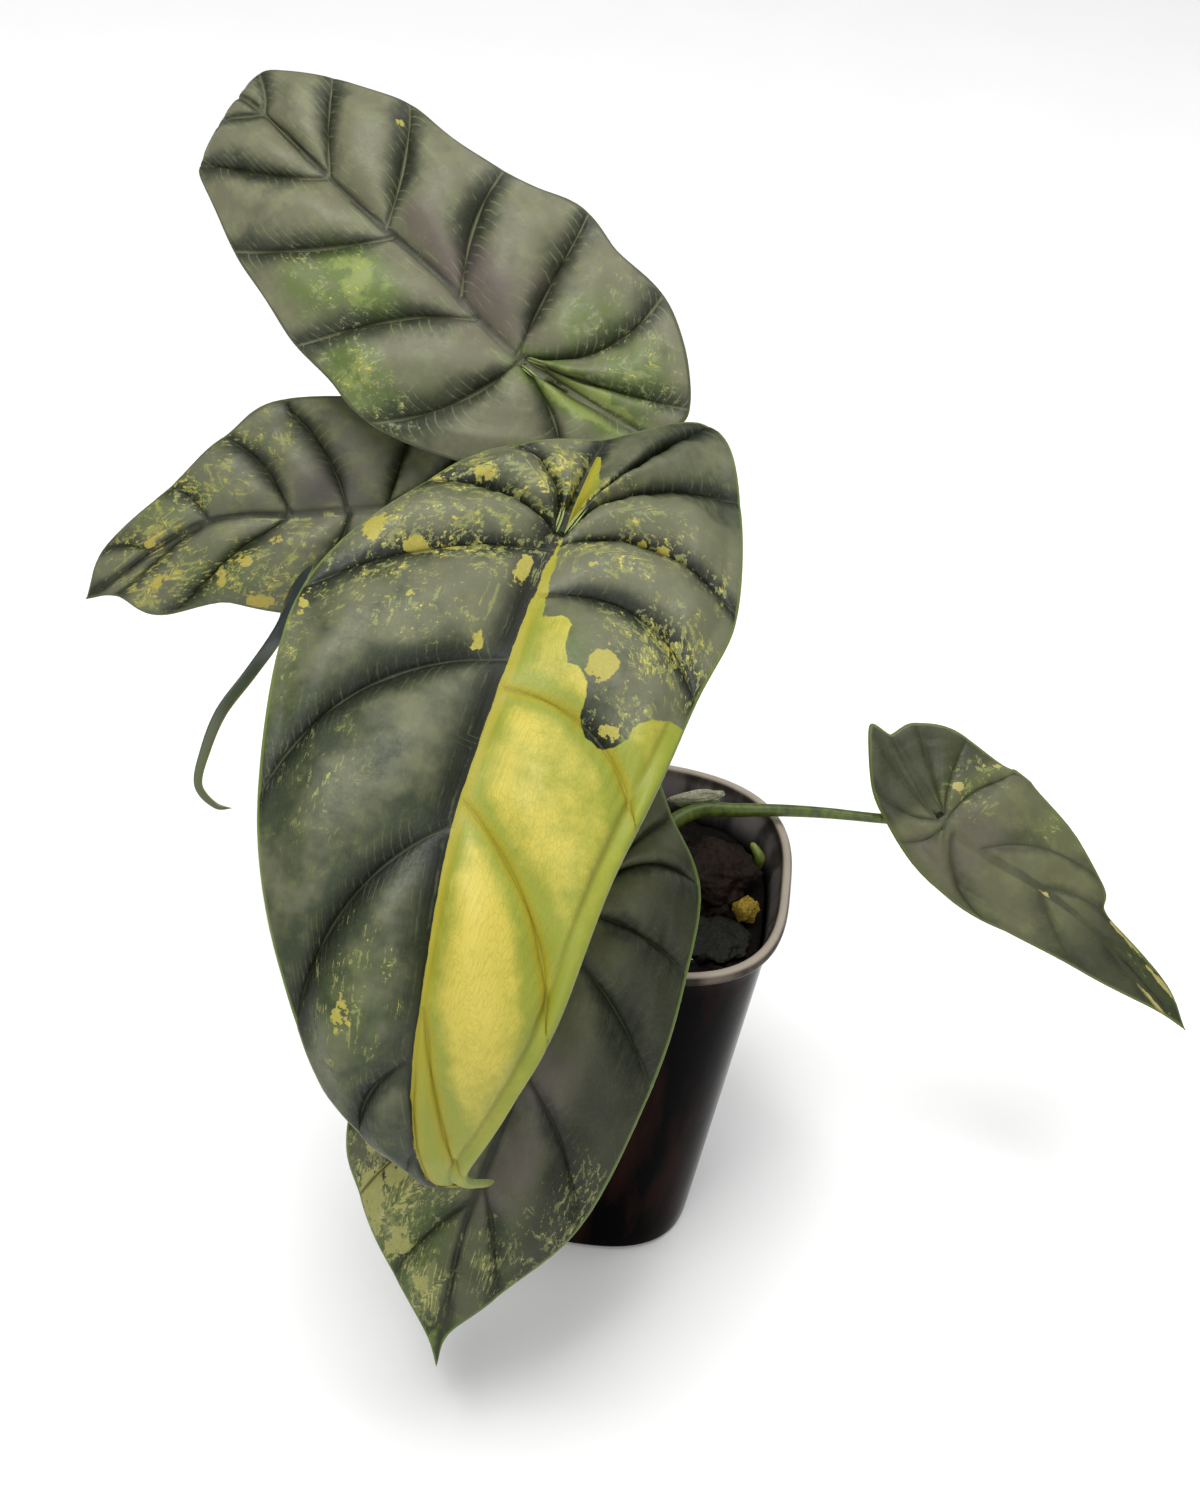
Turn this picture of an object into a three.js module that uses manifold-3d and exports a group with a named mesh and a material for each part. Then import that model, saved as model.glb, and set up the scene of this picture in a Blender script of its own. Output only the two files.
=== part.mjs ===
// A silver dragon alocasia in its nursery pot: a rounded-square cup of thin plastic, the potting mix,
// the crown with its roots, and six leaves, each a leaf stalk and a blade that follows its own veins.
// Millimetres, +Z up. The origin is the middle of the pot's base.
import * as THREE from "three";
import { mergeVertices } from "three/addons/utils/BufferGeometryUtils.js";
import Module from "manifold-3d";

const wasm = await Module();
wasm.setup();

// Pot
const POT_HEIGHT = 70;
const POT_HALF_WIDTH = 28.8;
const POT_FOOT_HALF_WIDTH = 21.2;
const POT_SQUARENESS = 3;
const POT_SIDES = 40;
const POT_WALL = 0.8;
const POT_FLOOR = 1.5;
const RIM_HEIGHT = 3;
const RIM_STAND_OUT = 1.6;
const DRAIN_RADIUS = 2.4;
const DRAIN_RING = 14;
const DRAIN_COUNT = 6;

// Potting mix and the loose things on it
const MIX_TOP = 61.5;
const MIX_WAVE = 0.9;
const CHIP_COUNT = 18;
const CHIP_SIZE = 3.6;
const CHIP_SEED = 11;
const CLEARANCE = 0.32;

// Crown and roots
const CROWN_FOOT = 46;
const CROWN_TOP = 69;
const CROWN_RADIUS = 6.6;
const ROOT_COUNT = 6;
const ROOT_RADIUS = 1.3;
const ROOT_REACH = 14;
const ROOT_END = 14;

// Leaves
const BLADE_THICKNESS = 0.9;
const MIDRIB_HALF_WIDTH = 0.7;
const STALK_SIDES = 7;
const STALK_STEPS = 14;
const FOLDED_STEPS = 28;

// Each leaf has its midrib from the notch between the back lobes, over the stalk's joint, to the tip.
// A vein is [where it leaves the midrib, where its end lies along the midrib, how far out that is, bow].
// The first row is the seam between the back lobes and the last one the midrib's own end.
// grid is the rows from vein to vein and the columns from the midrib to the margin. arch gives the section's slope at the midrib in degrees and its turn in degrees per 10 mm,
// from the notch to the tip.
const LEAVES = {
  front: {
    midrib: [[-12.5, 2, 147.5], [-16.5, -19, 142.5], [-20, -42.5, 134.5], [-23.5, -65, 122],
      [-24, -80.5, 106], [-23.5, -86, 88.5], [-20, -82.5, 71], [-11.5, -69.5, 60]],
    face: [0.1, -0.3, 0.95],
    archRight: [[-4, 5], [-2, 5], [4, 5], [8, 6]],
    archLeft: [[-4, 5], [-2, 5], [4, 5], [8, 8]],
    right: [[0, -22, 0, 0], [0, -32.5, 14, 0.05], [0, -20, 23, 0.28], [2, 2, 29, 0.18],
      [12, 20.5, 27.2, 0.22], [29, 44, 24.8, 0.18], [47.5, 83, 18, 0.13], [77, 113, 5, 0.1],
      [122, 130, 0, 0]],
    left: [[0, -22, 0, 0], [0, -13, 10.5, 0.15], [0, -1.5, 21.5, 0.12], [3.5, 22, 32.5, 0.06],
      [24.5, 53.5, 28, 0.13], [51.5, 83.5, 17, 0.13], [85, 99.5, 8, 0.15], [102, 108, 2.5, 0.05],
      [122, 130, 0, 0]],
    relief: 2.3,
    grid: [4, 7],
    stalk: [[-2.3, -3.5, 58], [-5, -6.5, 72], [-10, -9.5, 98], [-14.5, -14, 124]],
    stalkRadius: [1.7, 1.2],
  },
  top: {
    midrib: [[-8, 27.5, 135], [-28.5, 33.5, 141.5], [-44, 41.5, 150], [-60.5, 51, 156.5],
      [-77.5, 65.5, 164], [-80.5, 76.5, 159.5], [-76, 80, 153]],
    face: [0, -0.78, 0.62],
    archRight: [[-2, 4], [-2, 4], [4, 6]],
    archLeft: [[-2, 4], [-2, 4], [4, 6]],
    right: [[0, -22, 0, 0], [0, -12.5, 10, 0.12], [0, 9, 24.5, 0.05], [10, 29.5, 24, -0.03],
      [29.5, 48, 19.7, 0.03], [45, 69, 14.2, 0.06], [64, 77, 6, 0.04], [80, 85, 0, 0]],
    left: [[0, -22, 0, 0], [0, -26, 7, 0.03], [0, -14.5, 21.5, 0.16], [1, 11, 25, 0.02],
      [14.5, 23.5, 20, -0.08], [31.5, 45, 18.2, 0.07], [45, 58.5, 12.4, -0.02], [64, 74, 5, 0.03],
      [80, 85, 0, 0]],
    relief: 2,
    scallop: 0.03,
    grid: [4, 6],
    stalk: [[0, 0.3, 58], [-0.5, 3, 75], [-9, 14, 104], [-20, 30, 128]],
    stalkRadius: [1.7, 1.2],
  },
  left: {
    midrib: [[-32.5, 30.5, 117.5], [-47, 27.5, 113.5], [-61.5, 26, 110.5], [-78, 25, 106],
      [-96, 22.5, 89.5]],
    face: [0, -0.79, 0.6],
    archRight: [[0, 4], [0, 4], [5, 6]],
    archLeft: [[0, 4], [0, 4], [5, 6]],
    right: [[0, -15, 0, 0], [0, -7, 15, 0.12], [0, 4, 16.5, 0.03], [6.5, 16.5, 16.5, 0.06],
      [17, 45, 10.5, 0.08], [32, 52, 2.5, 0.06], [53.5, 57, 0, 0]],
    left: [[0, -15, 0, 0], [0, -15, 8.5, 0.09], [0, -8.5, 17, 0], [7, 17.5, 19.5, 0.08],
      [16.5, 26.5, 13.5, 0.06], [30.5, 34.5, 8, 0.06], [42, 50, 5.5, 0.08], [53.5, 57, 0, 0]],
    relief: 1.5,
    grid: [3, 6],
    stalk: [[-2.7, 3.2, 58], [-6.5, 8, 72], [-24, 18, 92], [-42, 31, 104]],
    stalkRadius: [1.5, 1],
  },
  lower: {
    midrib: [[3, -18, 102.5], [-2.5, -32, 90.5], [-7, -43.5, 75], [-11.5, -52.5, 56.5],
      [-15.5, -59.5, 36.5], [-16.5, -65, 12.5]],
    face: [0.03, -0.71, 0.7],
    archRight: [[0, 3], [0, 4], [5, 5]],
    archLeft: [[0, 3], [0, 4], [5, 5]],
    right: [[0, -19.5, 0, 0], [0, -14, 5.5, 0.05], [0, -5.5, 14.5, 0.2], [5.5, 9, 18, 0.08],
      [12.5, 28, 19.5, 0.06], [32.5, 55, 17, 0.08], [51.5, 72, 7.5, 0.06], [77.5, 80.5, 1, 0],
      [82, 87, 0, 0]],
    left: [[0, -19.5, 0, 0], [0, -10.5, 7, 0.09], [0, 8, 21.5, 0.06], [5.5, 27.5, 25.5, 0.11],
      [21.5, 52, 23, 0.08], [37, 61.5, 17.5, 0.06], [55.5, 72, 9.5, 0.03], [77.5, 81.5, 2.5, 0.05],
      [82, 87, 0, 0]],
    relief: 1.8,
    grid: [4, 6],
    stalk: [[2.1, -3.6, 58], [2.8, -8, 70], [1, -17, 80], [-2, -25, 83]],
    stalkRadius: [1.6, 1.1],
  },
  right: {
    midrib: [[42, 25.5, 85.5], [52.5, 16.5, 76.5], [60.5, 13, 73], [71, 10.5, 69.5], [83.5, 7, 63],
      [100.5, 3.5, 49]],
    face: [0, -0.6, 0.8],
    archRight: [[-4, 6], [-2, 6], [5, 5]],
    archLeft: [[-4, 6], [20, 8], [15, 5]],
    right: [[0, -16.5, 0, 0], [0, -16, 5, 0], [0, -9.5, 11.5, 0.05], [1, 8.5, 15.5, 0.25],
      [9, 28.5, 7.5, 0.22], [21.5, 33, 3.5, 0.06], [35, 49, 3, 0.1], [53.5, 57, 0, 0]],
    left: [[0, -16.5, 0, 0], [0, -19.5, 2.5, -0.03], [0, -10, 7.5, -0.1], [1.5, -1, 8.5, -0.1],
      [3.5, 16, 10, 0.12], [21, 36.5, 6.5, 0.13], [35, 51, 1.5, 0.1], [53.5, 57, 0, 0]],
    relief: 1.1,
    grid: [3, 6],
    stalk: [[3.8, 1.7, 58], [5.5, 6, 67], [11.5, 12.7, 71.7], [18.5, 15.5, 72], [26, 17, 72.3],
      [34, 18.3, 72.3], [43.5, 18.8, 72.6]],
    stalkRadius: [1.6, 1.4, 1.1, 0.85, 0.85],
  },
  young: {
    midrib: [[-56.5, 14.5, 109.5], [-58.5, 11, 106.5], [-61, 5.5, 101], [-64.5, 0.5, 95.5], [-68, -4.5, 90.5],
      [-69.5, -8.5, 85], [-69.5, -12, 80.5], [-66, -13.5, 78], [-63, -13.5, 78.5]],
    face: [-0.7, -0.35, 0.62],
    outline: [[-4, 0.7, 12], [0, 1.7, 12], [4, 2.3, 25], [14, 2.3, 60], [27, 2, 60], [38.5, 1.2, 60],
      [44.5, 0.6, 60]],
    thickness: 0.5,
    stalk: [[-4.2, 0, 58], [-9.5, 1, 70], [-27, 5, 88], [-48, 9, 100.5]],
    stalkRadius: [1.3, 0.7],
  },
};
const JOINT_ON_MIDRIB = 1;
const FAN_ROWS = 2;
const PUFFED_REACH = 12;

const COLOURS = {
  pot: 0x2a1a18,
  mix: 0x2b1c14,
  bark: 0x2e211b,
  pellet: 0xb8962e,
  sprout: 0x7c8f3a,
  flake: 0x34362f,
  husk: 0x9a9a86,
  crown: 0x5d6b2c,
  stalk: 0x4f6b1e,
  blade: 0x565e49,
  youngBlade: 0x55604f,
};

function finish(colour, roughness) {
  return new THREE.MeshStandardMaterial({ color: colour, roughness, metalness: 0 });
}

function degrees(value) {
  return (value * Math.PI) / 180;
}

// Catmull-Rom through values or points, at t from 0 to their number less one.
function through(values, t) {
  const last = values.length - 1;
  const i = Math.min(Math.max(Math.floor(t), 0), last - 1);
  const f = t - i;
  const mix = (k) => {
    const get = (n) => (k < 0 ? values[n] : values[n][k]);
    const b = get(i);
    const c = get(i + 1);
    const a = i > 0 ? get(i - 1) : 2 * b - c;
    const d = i + 2 <= last ? get(i + 2) : 2 * c - b;
    return 0.5 * (2 * b + (c - a) * f + (2 * a - 5 * b + 4 * c - d) * f * f + (3 * b - a - 3 * c + d) * f ** 3);
  };
  return Array.isArray(values[0]) ? values[0].map((_, k) => mix(k)) : mix(-1);
}

function between(values, t) {
  const x = Math.min(Math.max(t, 0), 1) * (values.length - 1);
  const i = Math.min(Math.floor(x), values.length - 2);
  return values[i].map((v, k) => v + (values[i + 1][k] - v) * (x - i));
}

// Small repeatable random numbers from 0 to 1.
function randomFrom(seed) {
  let state = seed;
  return () => {
    state = (state * 16807) % 2147483647;
    return state / 2147483647;
  };
}

// Solids by manifold-3d
function solid(geometry) {
  const bare = geometry.clone();
  bare.deleteAttribute("normal");
  bare.deleteAttribute("uv");
  const merged = mergeVertices(bare, 1e-4);
  return new wasm.Manifold(
    new wasm.Mesh({
      numProp: 3,
      vertProperties: merged.attributes.position.array,
      triVerts: new Uint32Array(merged.index.array),
    }),
  );
}

function geometryOf(manifold) {
  const mesh = manifold.getMesh();
  const geometry = new THREE.BufferGeometry();
  geometry.setAttribute("position", new THREE.BufferAttribute(new Float32Array(mesh.vertProperties), 3));
  geometry.setIndex(new THREE.BufferAttribute(new Uint32Array(mesh.triVerts), 1));
  return geometry;
}

function largestBody(manifold) {
  const bodies = manifold.decompose();
  return bodies.reduce((best, body) => (body.volume() > best.volume() ? body : best));
}

// A closed skin over rings of equal counts, the first and the last ring capped by fans.
function loft(rings) {
  const count = rings[0].length;
  const points = rings.flat();
  const triangles = [];
  for (let i = 0; i + 1 < rings.length; i += 1) {
    for (let j = 0; j < count; j += 1) {
      const a = i * count + j;
      const b = i * count + ((j + 1) % count);
      triangles.push(a, b, b + count, a, b + count, a + count);
    }
  }
  for (const [ring, start, turned] of [[rings[0], 0, true], [rings.at(-1), (rings.length - 1) * count, false]]) {
    const middle = ring.reduce((sum, p) => sum.map((v, k) => v + p[k] / count), [0, 0, 0]);
    points.push(middle);
    for (let j = 0; j < count; j += 1) {
      const a = start + j;
      const b = start + ((j + 1) % count);
      triangles.push(points.length - 1, turned ? b : a, turned ? a : b);
    }
  }
  const geometry = new THREE.BufferGeometry();
  geometry.setAttribute("position", new THREE.Float32BufferAttribute(points.flat(), 3));
  geometry.setIndex(triangles);
  return geometry;
}

// A tapered tube along a smooth curve through the points.
function taperedTube(points, radii, sides, steps, extra = 0) {
  const curve = new THREE.CatmullRomCurve3(points.map((p) => new THREE.Vector3(...p)));
  const frames = curve.computeFrenetFrames(steps, false);
  const rings = [];
  for (let i = 0; i <= steps; i += 1) {
    const t = i / steps;
    const centre = curve.getPointAt(t);
    const radius = between(radii.map((r) => [r]), t)[0] + extra;
    const pastEnd = i === 0 ? -extra : i === steps ? extra : 0;
    centre.addScaledVector(frames.tangents[i], pastEnd);
    const ring = [];
    for (let j = 0; j < sides; j += 1) {
      const angle = (2 * Math.PI * j) / sides;
      const out = frames.normals[i].clone().multiplyScalar(Math.cos(angle) * radius);
      out.addScaledVector(frames.binormals[i], Math.sin(angle) * radius);
      ring.push(centre.clone().add(out).toArray());
    }
    rings.push(ring);
  }
  return loft(rings);
}

// Pot
function squareRing(halfWidth, z, count = POT_SIDES) {
  const ring = [];
  for (let i = 0; i < count; i += 1) {
    const angle = (2 * Math.PI * (i + 0.5)) / count;
    const c = Math.cos(angle);
    const s = Math.sin(angle);
    const reach = halfWidth / (Math.abs(c) ** POT_SQUARENESS + Math.abs(s) ** POT_SQUARENESS) ** (1 / POT_SQUARENESS);
    ring.push([reach * c, reach * s, z]);
  }
  return ring;
}

function wallHalfWidth(z) {
  const wallTop = POT_HALF_WIDTH - RIM_STAND_OUT;
  return POT_FOOT_HALF_WIDTH + ((wallTop - POT_FOOT_HALF_WIDTH) * z) / POT_HEIGHT;
}

function pot() {
  const rimFoot = POT_HEIGHT - RIM_HEIGHT;
  const inside = (z) => wallHalfWidth(z) - POT_WALL;
  const crest = POT_HALF_WIDTH - 0.8;
  const rings = [
    squareRing(POT_FOOT_HALF_WIDTH - 1, 0),
    squareRing(wallHalfWidth(1), 1),
    squareRing(wallHalfWidth(POT_HEIGHT / 2), POT_HEIGHT / 2),
    squareRing(wallHalfWidth(rimFoot), rimFoot),
    squareRing(POT_HALF_WIDTH - 0.4, rimFoot + 0.4),
    squareRing(POT_HALF_WIDTH, rimFoot + 1.2),
    squareRing(POT_HALF_WIDTH, POT_HEIGHT - 0.7),
    squareRing(crest, POT_HEIGHT),
    squareRing(crest - 0.8, POT_HEIGHT - 0.7),
    squareRing(inside(rimFoot), rimFoot),
    squareRing(inside(POT_HEIGHT / 2), POT_HEIGHT / 2),
    squareRing(inside(POT_FLOOR), POT_FLOOR),
  ];
  let cup = solid(loft(rings));
  for (let i = 0; i < DRAIN_COUNT; i += 1) {
    const angle = (2 * Math.PI * i) / DRAIN_COUNT;
    const hole = new THREE.CylinderGeometry(DRAIN_RADIUS, DRAIN_RADIUS, 3 * POT_FLOOR, 12);
    hole.rotateX(Math.PI / 2);
    hole.translate(DRAIN_RING * Math.cos(angle), DRAIN_RING * Math.sin(angle), POT_FLOOR / 2);
    cup = cup.subtract(solid(hole));
  }
  return geometryOf(cup);
}

// Crown: the short stem with its sheathing stalk bases, and the roots under it
function rootPath(index) {
  const angle = degrees(25 + (360 / ROOT_COUNT) * index);
  const reach = ROOT_REACH * (0.8 + 0.2 * Math.cos(index * 2.3));
  const end = ROOT_END + 6 * Math.sin(index * 1.7) ** 2;
  return [
    [2 * Math.cos(angle), 2 * Math.sin(angle), CROWN_FOOT + 6],
    [0.6 * reach * Math.cos(angle), 0.6 * reach * Math.sin(angle), CROWN_FOOT - 8],
    [reach * Math.cos(angle + 0.3), reach * Math.sin(angle + 0.3), end],
  ];
}

function crownBody(extra) {
  const profile = [
    new THREE.Vector2(0, CROWN_FOOT - extra),
    new THREE.Vector2(3 + extra, CROWN_FOOT - extra),
    new THREE.Vector2(CROWN_RADIUS - 1.2 + extra, CROWN_FOOT + 5),
    new THREE.Vector2(CROWN_RADIUS + extra, MIX_TOP - 2),
    new THREE.Vector2(CROWN_RADIUS - 0.4 + extra, MIX_TOP + 3),
    new THREE.Vector2(CROWN_RADIUS - 2 + extra, CROWN_TOP + extra),
    new THREE.Vector2(0, CROWN_TOP + 0.6 + extra),
  ];
  const stem = new THREE.LatheGeometry(profile, 16);
  stem.rotateX(Math.PI / 2);
  let body = solid(stem);
  for (let i = 0; i < ROOT_COUNT; i += 1) {
    const root = taperedTube(rootPath(i), [ROOT_RADIUS, 0.5 * ROOT_RADIUS], 5, 5, extra);
    body = body.add(solid(root));
  }
  return body;
}

// Midrib of a leaf: places, directions and facings at even steps, with the distance from the joint.
function midribOf(leaf, steps = 120) {
  const last = leaf.midrib.length - 1;
  const places = [];
  for (let i = 0; i <= steps; i += 1) {
    places.push(new THREE.Vector3(...through(leaf.midrib, (last * i) / steps)));
  }
  const joint = Math.round((JOINT_ON_MIDRIB / last) * steps);
  const along = [0];
  for (let i = 1; i <= steps; i += 1) {
    along.push(along[i - 1] + places[i].distanceTo(places[i - 1]));
  }
  const start = along[joint];
  const directions = places.map((_, i) =>
    places[Math.min(i + 1, steps)].clone().sub(places[Math.max(i - 1, 0)]).normalize(),
  );
  const facings = [];
  const levelled = (facing, i) => {
    const across = facing.clone().addScaledVector(directions[i], -facing.dot(directions[i]));
    return across.normalize();
  };
  facings[joint] = levelled(new THREE.Vector3(...leaf.face), joint);
  for (let i = joint + 1; i <= steps; i += 1) {
    facings[i] = levelled(facings[i - 1], i);
  }
  for (let i = joint - 1; i >= 0; i -= 1) {
    facings[i] = levelled(facings[i + 1], i);
  }
  return { places, directions, facings, along: along.map((s) => s - start) };
}

function stationAt(midrib, s) {
  const { places, directions, facings, along } = midrib;
  const last = along.length - 1;
  let i = 0;
  while (i < last - 1 && along[i + 1] < s) {
    i += 1;
  }
  const f = (s - along[i]) / (along[i + 1] - along[i]);
  const clamped = Math.min(Math.max(f, 0), 1);
  const place = places[i].clone().lerp(places[i + 1], f);
  const direction = directions[i].clone().lerp(directions[i + 1], clamped).normalize();
  const facing = facings[i].clone().lerp(facings[i + 1], clamped).normalize();
  return { place, direction, facing, outward: facing.clone().cross(direction) };
}

// A point of the blade before its relief: s along the midrib, q out from it, side 1 right or -1 left.
function bladePoint(leaf, midrib, side, s, q) {
  const { place, facing, outward } = stationAt(midrib, s);
  const share = (s - midrib.along[0]) / (midrib.along.at(-1) - midrib.along[0]);
  const [slope, turn] = between(side > 0 ? leaf.archRight : leaf.archLeft, share);
  const start = degrees(slope);
  const rate = degrees(turn) / 10 || 1e-6;
  const end = start + rate * q;
  const out = (Math.sin(end) - Math.sin(start)) / rate;
  const down = (Math.cos(start) - Math.cos(end)) / rate;
  return place.addScaledVector(outward, side * out).addScaledVector(facing, -down);
}

// A row runs like a vein from the midrib, v = 0, to the margin, v = 1. Whole rows are the veins,
// and the margin dips in between them.
function rowPoint(veins, row, v, dip = 0) {
  const [leaves, along, out, bow] = through(veins, row);
  const start = row <= FAN_ROWS ? 0 : Math.max(leaves, 0);
  const reach = along - start;
  const middleAlong = start + reach / 2 - bow * out;
  const middleOut = out / 2 + bow * reach;
  const bendAlong = 2 * middleAlong - (start + along) / 2;
  const bendOut = 2 * middleOut - out / 2;
  const scallop = 1 - dip * v * v * Math.sin(Math.PI * row) ** 2;
  const s = (1 - v) ** 2 * start + 2 * v * (1 - v) * bendAlong + v * v * along;
  const q = 2 * v * (1 - v) * bendOut + v * v * out;
  return [s, Math.max(q, 0) * scallop];
}

// The quilting: panels swell between the sunken veins and flatten towards the margin.
function reliefAt(veins, row, v) {
  const size = Math.min(1, Math.max(through(veins, row)[2], 0) / PUFFED_REACH);
  const swell = Math.abs(Math.sin(Math.PI * row)) ** 0.8;
  const rise = Math.sin((Math.PI / 2) * Math.min(1, v / 0.45)) ** 0.9;
  const fall = 1 - 0.8 * THREE.MathUtils.smoothstep(v, 0.7, 1);
  return size * swell * rise * fall;
}

function bladeHalf(leaf, midrib, side, sheet) {
  const [rowsPerPanel, columns] = leaf.grid;
  const veins = side > 0 ? leaf.right : leaf.left;
  const rows = (veins.length - 1) * rowsPerPanel;
  const ids = [];
  const length = midrib.along.at(-1);
  for (let i = 0; i <= rows; i += 1) {
    const row = i / rowsPerPanel;
    const line = [];
    for (let j = 0; j <= columns; j += 1) {
      if (j === 0 && row <= FAN_ROWS && i > 0) {
        line.push(ids[0][0]);
        continue;
      }
      const v = j / columns;
      const [s, q] = rowPoint(veins, row, v, leaf.scallop);
      const rib = MIDRIB_HALF_WIDTH * Math.min(1, 1.08 - Math.max(s, 0) / length);
      const point = bladePoint(leaf, midrib, side, s, q + rib * (1 - v));
      point.addScaledVector(stationAt(midrib, s).facing, leaf.relief * reliefAt(veins, row, v));
      sheet.points.push(point);
      sheet.along.push(s);
      line.push(sheet.points.length - 1);
    }
    ids.push(line);
  }
  for (let i = 0; i < rows; i += 1) {
    for (let j = 0; j < columns; j += 1) {
      const [a, b, c, d] = [ids[i][j], ids[i][j + 1], ids[i + 1][j + 1], ids[i + 1][j]];
      const corners = side > 0 ? [[a, d, c], [a, c, b]] : [[a, c, d], [a, b, c]];
      for (const corner of corners) {
        if (new Set(corner).size === 3) {
          sheet.triangles.push(corner);
        }
      }
    }
  }
  const inner = ids[0].slice(1).reverse();
  inner.push(ids[0][0]);
  for (let i = FAN_ROWS * rowsPerPanel + 1; i <= rows; i += 1) {
    inner.push(ids[i][0]);
  }
  inner.push(...ids[rows].slice(1));
  return inner;
}

// The narrow midrib strip joins the two halves, whose veins need not be opposite.
function stitchMidrib(sheet, right, left) {
  let i = 0;
  let j = 0;
  while (i < right.length - 1 || j < left.length - 1) {
    const rightNext = i < right.length - 1 ? sheet.along[right[i + 1]] : Infinity;
    const leftNext = j < left.length - 1 ? sheet.along[left[j + 1]] : Infinity;
    if (rightNext <= leftNext) {
      sheet.triangles.push([right[i], left[j], right[i + 1]]);
      i += 1;
    } else {
      sheet.triangles.push([right[i], left[j], left[j + 1]]);
      j += 1;
    }
  }
}

// Two faces of the same triangles and a wall round the margin turn the sheet into a solid.
function thicken(sheet, thickness) {
  const middle = new THREE.BufferGeometry().setFromPoints(sheet.points);
  middle.setIndex(sheet.triangles.flat());
  middle.computeVertexNormals();
  const normals = middle.getAttribute("normal");
  const count = sheet.points.length;
  const points = [];
  for (const way of [1, -1]) {
    sheet.points.forEach((p, i) => {
      const normal = new THREE.Vector3().fromBufferAttribute(normals, i);
      points.push(p.clone().addScaledVector(normal, (way * thickness) / 2));
    });
  }
  const edges = new Set();
  for (const [a, b, c] of sheet.triangles) {
    for (const [from, to] of [[a, b], [b, c], [c, a]]) {
      edges.add(from * count + to);
    }
  }
  const triangles = [];
  for (const [a, b, c] of sheet.triangles) {
    triangles.push(a, b, c, a + count, c + count, b + count);
    for (const [from, to] of [[a, b], [b, c], [c, a]]) {
      if (!edges.has(to * count + from)) {
        triangles.push(to, from, from + count, to, from + count, to + count);
      }
    }
  }
  const geometry = new THREE.BufferGeometry().setFromPoints(points);
  geometry.setIndex(triangles);
  return geometry;
}

// The young blade is folded down along its midrib: its section is a chevron. The outline gives
// [distance from the joint, width of a wing, fold in degrees].
function foldedBlade(leaf) {
  const midrib = midribOf(leaf);
  const rings = [];
  for (let i = 0; i <= FOLDED_STEPS; i += 1) {
    const [s, wing, fold] = through(leaf.outline, ((leaf.outline.length - 1) * i) / FOLDED_STEPS);
    const [rise, run] = [Math.sin(degrees(fold)), Math.cos(degrees(fold))];
    const { place, facing, outward } = stationAt(midrib, s);
    const thick = Math.min(leaf.thickness, 0.45 * wing);
    const [side, low] = [run * wing, -rise * wing];
    const section = [[-side, low], [-side + rise * thick, low - run * thick], [0, -thick / run],
      [side - rise * thick, low - run * thick], [side, low], [0, 0]];
    rings.push(section.map(([x, y]) =>
      place.clone().addScaledVector(outward, x).addScaledVector(facing, y + thick).toArray(),
    ));
  }
  return loft(rings);
}

function blade(leaf) {
  if (leaf.outline) {
    return foldedBlade(leaf);
  }
  const midrib = midribOf(leaf);
  const sheet = { points: [], along: [], triangles: [] };
  const right = bladeHalf(leaf, midrib, 1, sheet);
  const left = bladeHalf(leaf, midrib, -1, sheet);
  stitchMidrib(sheet, right, left);
  return thicken(sheet, BLADE_THICKNESS);
}

// The stalk ends square to the blade, a clearance under the joint.
function stalk(leaf, extra = 0) {
  const { place, facing } = stationAt(midribOf(leaf), 0);
  const under = (distance) => place.clone().addScaledVector(facing, -distance).toArray();
  const gap = (leaf.outline ? 0.1 : BLADE_THICKNESS / 2) + CLEARANCE;
  const path = [...leaf.stalk, under(gap + 3.5), under(gap)];
  return taperedTube(path, leaf.stalkRadius, STALK_SIDES, STALK_STEPS, extra);
}

// Loose things on the mix: [x, y, z] of the middle, half sizes and a turn about +Z in degrees
const LOOSE = {
  bark_chunk: { at: [15.4, 7.4, 63.9], half: [7.3, 7, 4.8], turn: 0, colour: COLOURS.bark, detail: 1 },
  grey_flake: { at: [16.5, -8.3, 62.6], half: [7, 5.4, 1.1], turn: 10, colour: COLOURS.flake, detail: 1 },
  yellow_pellet: { at: [22, -0.8, 63.8], half: [2.1, 1.9, 2.3], turn: 0, colour: COLOURS.pellet, detail: 1 },
  pale_husk: { at: [11.2, 15.4, 73.5], half: [4.6, 0.8, 1.1], turn: 22, colour: COLOURS.husk, detail: 1 },
};
const SPROUT = [[22.3, 14, 59], [23.4, 12.6, 64], [23, 12.4, 65.8], [21.6, 13.4, 67.2]];

function pebble({ at, half, turn, detail }, extra = 0) {
  const shape = new THREE.IcosahedronGeometry(1, detail);
  const spots = shape.getAttribute("position");
  for (let i = 0; i < spots.count; i += 1) {
    const p = new THREE.Vector3().fromBufferAttribute(spots, i);
    const dent = 1 - 0.14 * Math.sin(5 * p.x + 3 * p.y) * Math.cos(4 * p.z - 2 * p.x);
    p.multiplyScalar(dent);
    spots.setXYZ(i, p.x * (half[0] + extra), p.y * (half[1] + extra), p.z * (half[2] + extra));
  }
  shape.rotateZ(degrees(turn));
  shape.translate(...at);
  return shape;
}

function sprout(extra = 0) {
  return taperedTube(SPROUT, [0.6, 0.9, 1, 0.5], 6, 8, extra);
}

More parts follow.
